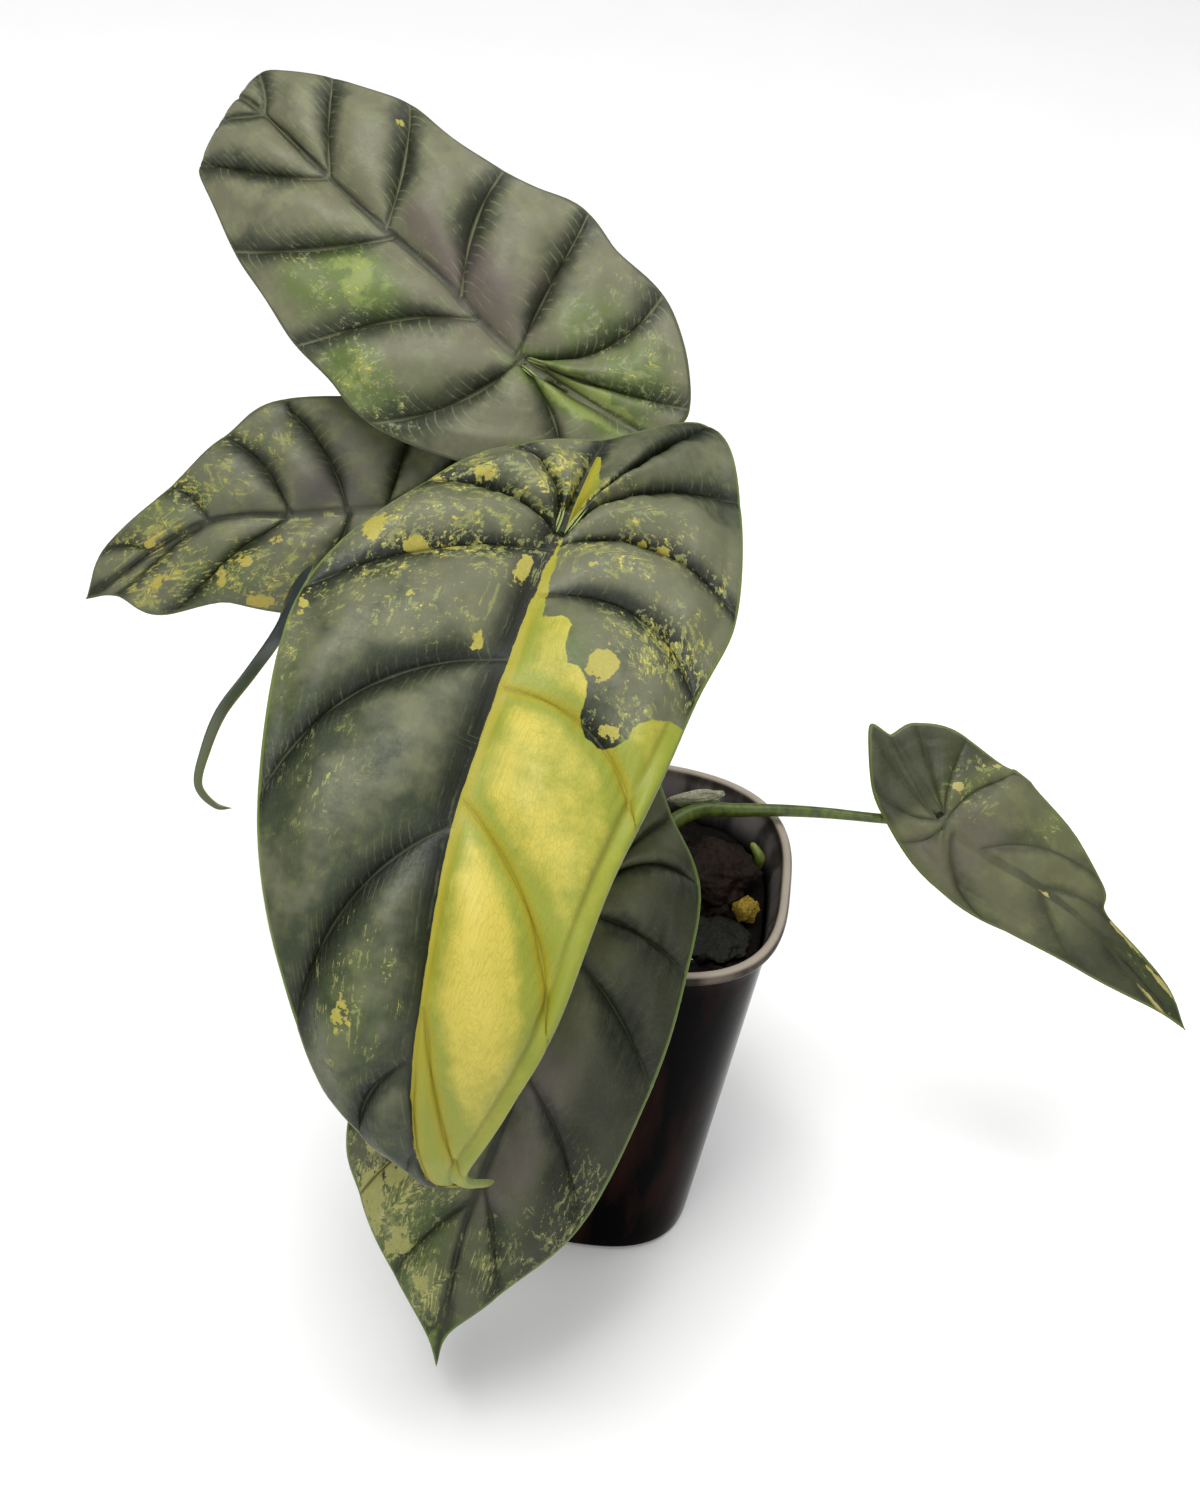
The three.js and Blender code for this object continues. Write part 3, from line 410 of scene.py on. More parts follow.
# What each grown leaf changes in it
TONES = {
    "front": {},
    "top": {"silver": "#64634e", "deep": "#3a3e2f", "green": "#54682a", "fresh": "#87924a", "plum": "#5a504c",
            "border": "#43472f", "rib": "#5d5e45", "hairs": 0.3, "mottle": "#79805a", "depth": 0.66,
            "haze": 0.3},
    "left": {"silver": "#5b5c49", "deep": "#373a2c", "border": "#4b5330", "depth": 0.75,
             "mottle": "#84864a", "cream": "#aa9b4c", "cream_deep": "#8a7e35", "haze": 0.25},
    # The lower leaf's darker silver and deep green are partly its own tone and partly painted shade
    "lower": {"silver": "#484a34", "deep": "#25291a", "plum": "#57504b", "cream": "#97945a",
              "cream_deep": "#7a7b3f", "mottle": "#6e7244", "border": "#5a6e2a", "depth": 0.66,
              "hairs": 0.06},
    "right": {"silver": "#525339", "deep": "#383b26", "plum": "#4b443d", "border": "#5b6830",
              "rib": "#34371f", "depth": 0.6, "cream": "#a89d62", "cream_deep": "#8f8650", "hairs": 0.03},
}


def add(tree, kind, inputs=(), **settings):
    """Add a node with its settings, set or link its inputs, and give back the output wanted."""
    kind, wanted, usual = kind if isinstance(kind, tuple) else (kind, 0, {})
    node = tree.nodes.new(kind)
    for name, value in {**usual, **settings}.items():
        setattr(node, name, value)
    for key, value in inputs.items() if isinstance(inputs, dict) else enumerate(inputs):
        if isinstance(value, bpy.types.NodeSocket):
            tree.links.new(value, node.inputs[key])
        elif isinstance(value, str) and value.startswith("#"):
            node.inputs[key].default_value = linear(value)
        elif value is not None:
            node.inputs[key].default_value = value
    return node.outputs[wanted] if node.outputs else None


def new_material(name):
    """A node material, still empty, and its tree."""
    material = bpy.data.materials.new(name)
    material.use_nodes = True
    material.node_tree.nodes.clear()
    return material, material.node_tree


def surfaced(material, colour, pattern, strength, depth, roughness, ior=1.5, shine=0.5):
    """Close a material with its colour, its gloss and the fine relief of a pattern, with the relief's
    depth in millimetres."""
    tree = material.node_tree
    bump = add(tree, BUMP, {"Strength": strength, "Distance": depth * MM, "Height": pattern})
    skin = add(tree, SHADER, {"Base Color": colour, "Roughness": roughness, "IOR": ior,
                              "Specular IOR Level": shine, "Normal": bump})
    add(tree, OUTPUT, (skin,))
    return material


def leaf_cuticle(name, colours):
    """Living leaf with a waxy cuticle: silver panels between dark sunken veins, fine pale side veins, crisp
    cream flecks and, on one blade, a yellow half. The veins' dark valleys are partly the leaf's own deep
    green and partly painted shade. The wax gives a soft satin gloss."""
    material, tree = new_material(name)
    place = add(tree, PLACE)
    field = {key: add(tree, FIELD, attribute_name=key) for key in LEAF_FIELDS}

    # Clouds of 7 mm, patches of 3.2 mm, crumbs of 1.4 mm and a grain of 0.5 mm
    cloud, patchy, crumb, grain = (
        add(tree, NOISE, {"Vector": place, "Scale": 1 / (size * MM), "Detail": detail, "Roughness": 0.6})
        for size, detail in ((7, 3), (3.2, 5), (1.4, 5), (0.5, 2)))

    # Flat coordinates along and away from the main veins, with a little wander
    along = add(tree, TIMES_PLUS, (crumb, 1.2, field["along"]))
    away = add(tree, TIMES_PLUS, (crumb, 1.2, field["vein"]))
    on_leaf = add(tree, "ShaderNodeCombineXYZ", (along, away, 0))
    # The net of smallest veins: cells of 0.9 mm
    gap = add(tree, "ShaderNodeTexVoronoi", {"Vector": on_leaf, "Scale": 1 / 0.9},
              feature="DISTANCE_TO_EDGE", voronoi_dimensions="2D")
    net = add(tree, RANGE, (gap, 0.02, 0.14, 1, 0))
    # Side veins leave the main ones every 1.5 mm, lean forwards and bend along the vein
    square = add(tree, TIMES, (away, away))
    lean = add(tree, TIMES_PLUS, (away, -1.1, along))
    lean = add(tree, TIMES_PLUS, (square, 0.12, lean))
    phase = add(tree, TIMES, (lean, 2 * math.pi / 1.5))
    wave = add(tree, MATH, (phase,), operation="SINE")
    side_vein = add(tree, RANGE, (wave, 0.72, 1, 0, 1))
    for reach in ((field["vein"], 1.5, 6.5, 1, 0), (patchy, 0.42, 0.6, 0, 1)):
        here = add(tree, RANGE, reach)
        side_vein = add(tree, TIMES, (side_vein, here))

    # Panels: silver in the middle, deeper towards the veins; on the front blade the panel value also carries
    # painted shade and a painted sheen
    body = add(tree, TIMES_PLUS, (cloud, 2.0, field["panel"]))
    body = add(tree, RANGE, (body, 0.8, 1.75, 0, 1))
    colour = add(tree, BLEND, {0: body, 6: colours["deep"], 7: colours["silver"]})
    layers = [(add(tree, RANGE, (patchy, 0.42, 0.68, 0, colours["haze"])), "mottle")]
    for kind, noise, low, high, most, tone in (
            ("plum", cloud, 0.1, 0.5, 0.85, "plum"), ("green", crumb, 0.12, 0.5, 0.7, "green"),
            ("green", patchy, 0.42, 0.62, 0.55, "fresh")):
        mottled = add(tree, TIMES, (field[kind], noise))
        layers.append((add(tree, RANGE, (mottled, low, high, 0, most)), tone))
    # Dark valleys along the veins, soft at the edge, partly the leaf's deep green and partly painted shade in
    # the sunken veins, with the pale side veins over them
    valley = add(tree, TIMES_PLUS, (patchy, 0.35, field["valley"]))
    layers.append((add(tree, RANGE, (valley, 0.35, 1.15, 0, colours["depth"])), "valley"))
    layers.append((add(tree, TIMES, (net, 0.025)), "line"))
    layers.append((add(tree, TIMES, (side_vein, colours["hairs"])), "line"))
    # Flecks of 0.4 to 3 mm, a little longer along the vein: many dull ones and a few bright ones
    stretched = add(tree, VECTOR, (on_leaf, (0.75, 1.0, 1.0)), operation="MULTIPLY")
    for scale, cut, tone, most in ((1.05, 0.85, "mottle", 0.7), (1.45, 0.925, "cream", 0.95)):
        speck = add(tree, NOISE, {"Vector": stretched, "Scale": scale, "Detail": 5, "Roughness": 0.65})
        crowd = add(tree, TIMES_PLUS, (field["fleck"], 0.15, speck))
        crowd = add(tree, TIMES_PLUS, (patchy, 0.45, crowd))
        crisp = add(tree, RANGE, (crowd, cut, cut + 0.03, 0, 1))
        where = add(tree, RANGE, (field["fleck"], 0.05, 0.25, 0, most))
        layers.append((add(tree, TIMES, (crisp, where)), tone))
    for share, tone in layers:
        colour = add(tree, BLEND, {0: share, 6: colour, 7: colours[tone]})
    ragged = add(tree, TIMES_PLUS, (crumb, 1.7, field["cream"]))
    patch = add(tree, RANGE, (ragged, 1.35, 1.45, 0, 0.92))
    cream = add(tree, BLEND, {0: grain, 6: colours["cream_deep"], 7: colours["cream"]})
    colour = add(tree, BLEND, {0: patch, 6: colour, 7: cream})

    # The yellow half: pale in the middle of a panel, golden at the veins, with a fine green net
    near = add(tree, RANGE, (field["vein"], 0.3, 5, 0.6, 0))
    near = add(tree, TIMES_PLUS, (patchy, 0.8, near))
    outside = add(tree, RANGE, (field["margin"], 2, 12, 0.4, 0))
    near = add(tree, MATH, (near, outside), operation="ADD")
    near = add(tree, TIMES_PLUS, (field["green"], 0.4, near))
    yellow = colours["yellow"]
    # A darker line in the groove inside the rolled margin is painted shade
    outer = add(tree, RANGE, (field["margin"], 3.3, 2.9, 0, 1))
    crease = add(tree, RANGE, (field["margin"], 2.3, 2.7, 0, 0.5))
    for share, tone in (
            (add(tree, RANGE, (near, 0.42, 1.05, 0, 0.9)), "lime"),
            (add(tree, RANGE, (field["vein"], 0.3, 1.8, 0.8, 0)), "gold"),
            (add(tree, TIMES, (net, 0.2)), "lime_deep"),
            (add(tree, RANGE, (wave, 0.8, 1, 0, 0.1)), "lime_deep"),
            (add(tree, RANGE, (field["margin"], 3.0, 2.2, 0, 0.6)), "lime"),
            (add(tree, TIMES, (outer, crease)), "lime_deep")):
        yellow = add(tree, BLEND, {0: share, 6: yellow, 7: colours[tone]})
    half = add(tree, TIMES_PLUS, (patchy, 1.6, field["yellow"]))
    half = add(tree, RANGE, (half, 0.75, 0.95, 0, 1))
    colour = add(tree, BLEND, {0: half, 6: colour, 7: yellow})

    # The main veins' own thin line, and a line round the margin
    rib = add(tree, BLEND, {0: half, 6: colours["rib"], 7: colours["rib_yellow"]})
    line = add(tree, RANGE, (field["vein"], 0.12, 0.42, 0.7, 0))
    colour = add(tree, BLEND, {0: line, 6: colour, 7: rib})
    line = add(tree, RANGE, (field["margin"], 0.3, 0.65, 0.75, 0))
    colour = add(tree, BLEND, {0: line, 6: colour, 7: colours["border"]})

    # The underside is paler and matt, with green ribs; the yellow half shows through
    under = colours["under"]
    for share, tone in (
            (add(tree, RANGE, (field["vein"], 0.3, 1.6, 1, 0)), "under_rib"),
            (add(tree, TIMES, (net, 0.25)), "under_rib"),
            (add(tree, TIMES, (half, 0.8)), "under_yellow")):
        under = add(tree, BLEND, {0: share, 6: under, 7: colours[tone]})
    colour = add(tree, BLEND, {0: field["upper"], 6: under, 7: colour})

    # Satin wax: smoother on the panels than on the grain
    wax = add(tree, RANGE, (grain, 0.3, 0.7, 0.42, 0.56))
    raised = add(tree, TIMES, (net, -0.1))
    for pattern, amount in ((side_vein, -2 * colours["hairs"]), (grain, 0.5)):
        raised = add(tree, TIMES_PLUS, (pattern, amount, raised))
    return surfaced(material, colour, raised, 0.5, 0.1, wax, ior=1.45, shine=0.3)


def stalk_skin(name, low, high, fleck):
    """Smooth green leaf stalk: living skin, satin, with darker fine lengthwise streaks."""
    material, tree = new_material(name)
    place = add(tree, PLACE)
    # Streaks 0.8 mm wide and several long, and blotches of 3 mm
    squeezed = add(tree, MAPPING, {"Vector": place, "Scale": (1, 1, 0.15)})
    streak = add(tree, NOISE, {"Vector": squeezed, "Scale": 1 / (0.8 * MM), "Detail": 3})
    blotch = add(tree, NOISE, {"Vector": place, "Scale": 1 / (3 * MM), "Detail": 4})
    share = add(tree, EVEN_RANGE, (add(tree, TIMES_PLUS, (streak, 0.6, blotch)), 0.6, 1.0, 0, 1))
    colour = add(tree, BLEND, {0: share, 6: low, 7: high})
    speck = add(tree, EVEN_RANGE, (blotch, 0.6, 0.68, 0, 0.6))
    colour = add(tree, BLEND, {0: speck, 6: colour, 7: fleck})
    return surfaced(material, colour, streak, 0.3, 0.1, 0.36, ior=1.45)


def young_leaf_skin():
    """Newest blade, still folded: glossy blue-grey above and olive-brown on the inside."""
    material, tree = new_material("young_leaf_skin")
    place = add(tree, PLACE)
    upper = add(tree, FIELD, attribute_name="upper")
    blotch = add(tree, NOISE, {"Vector": place, "Scale": 1 / (4 * MM), "Detail": 3})
    top = add(tree, BLEND, {0: blotch, 6: "#15191a", 7: "#2f3734"})
    low = add(tree, BLEND, {0: blotch, 6: "#4b4a22", 7: "#757a3a"})
    # The tip is older and greener: from 100 mm up down to 84 mm it turns to olive
    tip = add(tree, EVEN_RANGE, (add(tree, HEIGHT, (place,)), 100 * MM, 84 * MM, 0, 0.8))
    top = add(tree, BLEND, {0: tip, 6: top, 7: "#474f2c"})
    colour = add(tree, BLEND, {0: upper, 6: low, 7: top})
    return surfaced(material, colour, blotch, 0.25, 0.1, 0.25, ior=1.45)


def smoky_polypropylene():
    """Thin moulded polypropylene, smoke-tinted and glossy: nearly black maroon over the dark mix, with
    painted light milky on the free inside, painted beige where light runs through the rolled rim, and a
    painted highlight along its crest."""
    material, tree = new_material("smoky_polypropylene")
    place = add(tree, PLACE)
    height = add(tree, HEIGHT, (place,))
    inner = add(tree, FIELD, attribute_name="inner")
    # Runs of moisture and roots behind the wall, 6 mm across and stretched downwards
    hanging = add(tree, MAPPING, {"Vector": place, "Scale": (1, 1, 0.2)})
    behind = add(tree, NOISE, {"Vector": hanging, "Scale": 1 / (6 * MM), "Detail": 5})
    runs = add(tree, EVEN_RANGE, (behind, 0.45, 0.68, 0, 1))
    wall = add(tree, BLEND, {0: runs, 6: "#020101", 7: "#21100c"})
    # Inside, the wall is dark by the mix and turns milky grey towards the rim: painted light and reflection
    # where no mix lies behind the clear wall
    free = add(tree, RANGE, (height, (MIX_TOP - 1) * MM, (RIM_FOOT - 1) * MM, 0, 1))
    free = add(tree, TIMES, (free, add(tree, RANGE, (behind, 0.4, 0.6, 0.3, 1))))
    milky_light = add(tree, BLEND, {0: free, 6: "#0c0908", 7: "#6c6765"})
    colour = add(tree, BLEND, {0: inner, 6: wall, 7: milky_light})
    # The rolled rim is painted beige for light running through it, with a painted highlight along its crest
    rim = add(tree, RANGE, (height, (RIM_FOOT + 0.8) * MM, (RIM_FOOT + 2) * MM, 0, 1))
    beige = add(tree, BLEND, {0: runs, 6: "#332e2a", 7: "#645b53"})
    colour = add(tree, BLEND, {0: rim, 6: colour, 7: beige})
    crest = add(tree, RANGE, (height, (POT_HEIGHT - 0.6) * MM, (POT_HEIGHT - 0.1) * MM, 0, 0.7))
    colour = add(tree, BLEND, {0: crest, 6: colour, 7: "#b5aa9a"})
    # Faint flow lines of the moulding, 5 mm apart
    ripple = add(tree, NOISE, {"Vector": place, "Scale": 1 / (5 * MM), "Detail": 2})
    return surfaced(material, colour, ripple, 0.12, 0.3, 0.16, ior=1.49, shine=0.02)


def damp_matter(name, dark, light, size, depth, roughness):
    """Damp, broken plant matter: matt and fibrous, and darker in its pits, which is painted shade in those
    hollows. Fibres are as wide as the size, pits two fifths of it and as deep as the depth, in millimetres."""
    material, tree = new_material(name)
    place = add(tree, PLACE)
    fibre = add(tree, MAPPING, {"Vector": place, "Rotation": (0.4, 0.2, 0.6), "Scale": (1, 0.3, 1)})
    coarse = add(tree, NOISE, {"Vector": fibre, "Scale": 1 / (size * MM), "Detail": 6, "Roughness": 0.65})
    pits = add(tree, "ShaderNodeTexVoronoi", {"Vector": place, "Scale": 1 / (0.4 * size * MM)})
    height = add(tree, TIMES_PLUS, (pits, 0.5, coarse))
    # The colour follows the relief: the fibres' own tone, with painted shade down in the pits
    share = add(tree, EVEN_RANGE, (height, 0.45, 1.05, 0, 1))
    colour = add(tree, BLEND, {0: share, 6: dark, 7: light})
    return surfaced(material, colour, height, 0.8, depth, roughness, shine=0.15)


def studio_card():
    """Matt painted card of the studio floor: white, with the faintest mottling 33 mm across."""
    material, tree = new_material("studio_card")
    mottle = add(tree, NOISE, {"Vector": add(tree, PLACE), "Scale": 30, "Detail": 3})
    colour = add(tree, BLEND, {0: mottle, 6: "#f7f7f6", 7: "#fcfcfb"})
    add(tree, OUTPUT, (add(tree, SHADER, {"Base Color": colour, "Roughness": 0.9}),))
    return material


# Meshes

def placed(name, data):
    """A new object of the scene that shows this data."""
    piece = bpy.data.objects.new(name, data)
    bpy.context.scene.collection.objects.link(piece)
    return piece


def ring_faces(rings, count):
    """Four-sided faces between rings of points, with the first and the last ring closed."""
    first, last = list(range(count)), [(rings - 1) * count + j for j in range(count)]
    faces = []
    for start in range(0, (rings - 1) * count, count):
        for j in range(count):
            a, b = start + j, start + (j + 1) % count
            faces.append([a, b, b + count, a + count])
    return faces + [first[::-1], last]


def mesh_object(name, points, faces, materials, fields=None, weld=0.0):
    """A smooth-shaded object from points in millimetres, with named point values."""
    mesh = bpy.data.meshes.new(name)
    mesh.from_pydata((np.asarray(points) * MM).tolist(), [], faces)
    for key, values in (fields or {}).items():
        attribute = mesh.attributes.new(key, "FLOAT", "POINT")
        attribute.data.foreach_set("value", np.asarray(values, np.float32).ravel())
    shape = bmesh.new()
    shape.from_mesh(mesh)
    if weld:
        bmesh.ops.remove_doubles(shape, verts=shape.verts, dist=weld * MM)
        bmesh.ops.dissolve_degenerate(shape, edges=shape.edges, dist=1e-7)
    bmesh.ops.recalc_face_normals(shape, faces=shape.faces)
    for face in shape.faces:
        face.smooth = True
    shape.to_mesh(mesh)
    shape.free()
    for material in materials:
        mesh.materials.append(material)
    return placed(name, mesh)


def own(piece, slot, *nodes):
    """Ride on the body and stand for the named nodes; the slot is not used."""
    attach(piece, "root")
    if nodes:
        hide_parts(*nodes)


def settled(piece, modifier):
    """The mesh that a piece has with its modifier, which is then taken off."""
    graph = bpy.context.evaluated_depsgraph_get()
    mesh = bpy.data.meshes.new_from_object(piece.evaluated_get(graph), depsgraph=graph)
    piece.modifiers.remove(modifier)
    return mesh


def grown(base, tree, name, inputs):
    """Run a Geometry Nodes tree on a base object and keep the result as a plain mesh."""
    modifier = base.modifiers.new("Grow", "NODES")
    modifier.node_group = tree
    sockets = {item.name: item.identifier for item in tree.interface.items_tree if item.in_out == "INPUT"}
    for key, value in inputs.items():
        modifier[sockets[key]] = value
    mesh = settled(base, modifier)
    mesh.name = name
    bpy.data.objects.remove(base)
    return placed(name, mesh)


def geometry_tree(name, inputs):
    """An empty Geometry Nodes tree with named inputs, each [name, kind, value], and their sockets."""
    tree = bpy.data.node_groups.new(name, "GeometryNodeTree")
    for label, kind, value in (("Geometry", "Geometry", None), *inputs):
        socket = tree.interface.new_socket(label, in_out="INPUT", socket_type="NodeSocket" + kind)
        if value is not None:
            socket.default_value = value
    tree.interface.new_socket("Geometry", in_out="OUTPUT", socket_type="NodeSocketGeometry")
    return tree, add(tree, "NodeGroupInput").node.outputs


def tube_tree():
    """Geometry Nodes: a round skin along each curve, as thick as the curve's own radius."""
    tree, given = geometry_tree("Stalk along a curve", (
        ("Sides", "Int", 24), ("Ring spacing", "Float", 0.6 * MM), ("Ripple", "Float", 0.05 * MM),
        ("Ripple seed", "Float", 3.0), ("Skin", "Material", None)))
    rings = add(tree, "GeometryNodeResampleCurve", {
        "Curve": given["Geometry"], "Length": given["Ring spacing"]}, mode="LENGTH")
    circle = add(tree, "GeometryNodeCurvePrimitiveCircle", {"Resolution": given["Sides"], "Radius": 1.0})
    radius = add(tree, "GeometryNodeInputRadius")
    skin = add(tree, "GeometryNodeCurveToMesh", {
        "Curve": rings, "Profile Curve": circle, "Scale": radius, "Fill Caps": True})
    noise = add(tree, NOISE_COLOUR, {"Scale": 700.0, "W": given["Ripple seed"]}, noise_dimensions="4D")
    middle = add(tree, VECTOR, (noise, (0.5, 0.5, 0.5)), operation="SUBTRACT")
    offset = add(tree, VECTOR, {0: middle, "Scale": given["Ripple"]}, operation="SCALE")
    moved = add(tree, "GeometryNodeSetPosition", {"Geometry": skin, "Offset": offset})
    soft = add(tree, "GeometryNodeSetShadeSmooth", {"Geometry": moved})
    real = add(tree, "GeometryNodeRealizeInstances", {"Geometry": soft})
    coloured = add(tree, "GeometryNodeSetMaterial", {"Geometry": real, "Material": given["Skin"]})
    add(tree, "NodeGroupOutput", (coloured,))
    return tree


def curve_object(name, lines):
    """A curve object of open polylines: each is points and radii in millimetres."""
    curve = bpy.data.curves.new(name, "CURVE")
    curve.dimensions = "3D"
    for points, radii in lines:
        spline = curve.splines.new("POLY")
        spline.points.add(len(points) - 1)
        for point, place, radius in zip(spline.points, points, radii):
            point.co = (*(place * MM), 1)
            point.radius = radius * MM
    return placed(name, curve)


def tube_line(points, radii, steps):
    """Smooth points and evenly tapered radii of one tube, with rounded ends."""
    place = through(points, np.linspace(0, len(points) - 1, steps + 1))
    along = distance_along(place)
    radius = between([[r] for r in radii], along / along[-1])[:, 0]
    from_end = np.minimum(np.minimum(along, along[-1] - along) / radius, 1)
    return place, radius * np.sqrt(np.clip(from_end * (2 - from_end), 0.02, 1))


# Blades

def midrib_of(leaf):
    """Places, directions and facings along a midrib, with the distance from the joint."""
    last = len(leaf["midrib"]) - 1
    place = through(leaf["midrib"], np.linspace(0, last, MIDRIB_STEPS + 1))
    joint = round(JOINT_ON_MIDRIB / last * MIDRIB_STEPS)
    k = np.arange(MIDRIB_STEPS + 1)
    direction = unit(place[np.minimum(k + 1, MIDRIB_STEPS)] - place[np.maximum(k - 1, 0)])
    facing = np.zeros_like(place)
    facing[joint] = leaf["face"]
    # Each step leans the facing before it square to the midrib, from the joint to both ends
    for i in (*range(joint, MIDRIB_STEPS + 1), *range(joint - 1, -1, -1)):
        before = facing[i - 1] if i > joint else facing[min(i + 1, joint)]
        facing[i] = unit(before - direction[i] * before.dot(direction[i]))
    along = distance_along(place)
    return {"place": place, "direction": direction, "facing": facing, "along": along - along[joint]}


def station(midrib, s):
    """Place, facing and outward direction at a distance s along the midrib."""
    along = midrib["along"]
    i = np.clip(np.searchsorted(along, s) - 1, 0, len(along) - 2)
    f = ((s - along[i]) / (along[i + 1] - along[i]))[..., None]
    c = np.clip(f, 0, 1)
    place = midrib["place"][i] + (midrib["place"][i + 1] - midrib["place"][i]) * f
    direction, facing = (unit(midrib[key][i] * (1 - c) + midrib[key][i + 1] * c)
                         for key in ("direction", "facing"))
    return place, facing, np.cross(facing, direction)


def blade_point(leaf, midrib, side, s, q):
    """The arched sheet: s along the midrib and q out from it."""
    place, facing, out = station(midrib, s)
    along = midrib["along"]
    share = (s - along[0]) / (along[-1] - along[0])
    arch = leaf["arch"] if side > 0 else leaf.get("left_arch", leaf["arch"])
    slope = np.radians(between(arch, share))
    start, rate = slope[..., 0], slope[..., 1] / 10
    end = start + rate * q
    run = (np.sin(end) - np.sin(start)) / rate
    drop = (np.cos(start) - np.cos(end)) / rate
    return place + out * (side * run)[..., None] - facing * drop[..., None], facing


def row_point(veins, row, v, dip):
    """Rows run like veins from the midrib, v = 0, to the margin, v = 1."""
    leaves, along, out, bow = np.moveaxis(through(veins, row), -1, 0)
    start = np.where(row <= FAN_ROWS, 0, np.maximum(leaves, 0))
    reach = along - start
    bend_along = start + reach / 2 - 2 * bow * out
    bend_out = np.minimum(out / 2 + 2 * bow * reach, np.maximum(out - 0.4, out / 2))
    scallop = 1 - dip * v * v * np.sin(np.pi * row) ** 2
    s = (1 - v) ** 2 * start + 2 * v * (1 - v) * bend_along + v * v * along
    q = 2 * v * (1 - v) * bend_out + v * v * out
    return s, np.maximum(q, 0) * scallop


def strip_width(s, length):
    """Half the width of the midrib's flat strip, which narrows to the tip."""
    return MIDRIB_HALF_WIDTH * np.minimum(1, 1.08 - np.maximum(s, 0) / length)


def quilting(veins, row, v):
    """Panels swell between the sunken veins and flatten towards the margin: 0 to 1."""
    size = np.clip(through(veins, row)[..., 2] / PUFFED_REACH, 0, 1)
    swell = np.abs(np.sin(np.pi * row)) ** 0.8
    rise = np.sin(np.pi / 2 * np.minimum(1, v / 0.3)) ** 0.9
    return size * swell * rise * (1 - 0.8 * smooth(v, 0.7, 1))


def half_sheet(leaf, midrib, side):
    """Point values of one side of a blade, in rows from the midrib to the margin."""
    length = midrib["along"][-1]
    veins = np.array(leaf["right" if side > 0 else "left"], float)
    panels = len(veins) - 1
    # Rows crowd beside the veins and columns towards the margin
    x = np.linspace(0, 1, leaf["rows"] + 1)[:-1]
    warped = x - ROW_CROWDING * np.sin(2 * np.pi * x) / (2 * np.pi)
    rows = np.concatenate([k + warped for k in range(panels)] + [[panels]])
    columns = 1 - (1 - np.linspace(0, 1, leaf["columns"] + 1)) ** COLUMN_CROWDING
    row, v = np.meshgrid(rows, columns, indexing="ij")
    s, q = row_point(veins, row, v, leaf.get("scallop", 0))
    q = q + strip_width(s, length) * (1 - v)
    point, facing = blade_point(leaf, midrib, side, s, q)
    puffed = quilting(veins, row, v) * (1 - smooth(s, *(share * length for share in TIP_FLATTENS)))
    point = point + facing * (QUILT * leaf["relief"] * puffed)[..., None]

    # Distance to the nearest vein, the widest such distance across each panel, and to the margin
    t = np.linspace(0, 1, VEIN_STEPS)
    vein = np.abs(q)
    for k in range(panels + 1):
        line_s, line_q = row_point(veins, np.full(VEIN_STEPS, float(k)), t, 0)
        line = list(zip(line_s, line_q + strip_width(line_s, length) * (1 - t)))
        vein = np.minimum(vein, distance_to_line(s, q, line))
    wide = np.empty_like(vein)
    for k in range(panels):
        piece = slice(k * leaf["rows"], (k + 1) * leaf["rows"])
        wide[piece] = vein[piece].max(axis=0)
    wide[-1] = wide[-2]
    edge = list(zip(s[:, -1], q[:, -1]))[::4]
    margin = np.where(v >= 1, 0, distance_to_line(s, q, edge))
    steps = np.linalg.norm(np.diff(point, axis=1), axis=2)
    trace = np.concatenate([np.zeros((len(rows), 1)), np.cumsum(steps, axis=1)], axis=1)
    return {"point": point, "facing": facing, "s": s, "q": q, "row": row, "v": v, "vein": vein,
            "margin": margin, "trace": trace, "wide": wide, "side": np.full(s.shape, side)}


def blade_sheet(leaf):
    """Points, faces and flat coordinates of a blade's middle sheet."""
    midrib = midrib_of(leaf)
    halves, inner, faces = {}, {}, []
    base = 0
    for side in (1, -1):
        half = half_sheet(leaf, midrib, side)
        count, columns = half["s"].shape
        ids = base + np.arange(count * columns).reshape(count, columns)
        # The rows that fan out from the joint share their first point
        fan = half["row"][:, 0] <= FAN_ROWS
        ids[fan, 0] = ids[0, 0]
        a, b, c, d = ids[:-1, :-1], ids[:-1, 1:], ids[1:, 1:], ids[1:, :-1]
        quads = np.stack([a, d, c, b] if side > 0 else [a, b, c, d], -1).reshape(-1, 4)
        faces += [list(dict.fromkeys(quad)) for quad in quads.tolist()]
        inner[side] = [int(i) for i in (*ids[0, ::-1], *ids[~fan, 0], *ids[-1, 1:])]
        halves[side] = half
        base += count * columns
    sheet = {key: np.concatenate([halves[side][key].reshape(-1, *halves[side][key].shape[2:])
                                  for side in (1, -1)]) for key in halves[1]}

    # Triangles close the strip between the two sides' inner edges
    right, left = inner[1], inner[-1]
    i = j = 0
    while i < len(right) - 1 or j < len(left) - 1:
        right_next = sheet["s"][right[i + 1]] if i < len(right) - 1 else math.inf
        left_next = sheet["s"][left[j + 1]] if j < len(left) - 1 else math.inf
        if right_next <= left_next:
            faces.append([right[i], left[j], right[i + 1]])
            i += 1
        else:
            faces.append([right[i], left[j], left[j + 1]])
            j += 1
    sheet["length"] = midrib["along"][-1]
    return sheet, [face for face in faces if len(face) > 2]


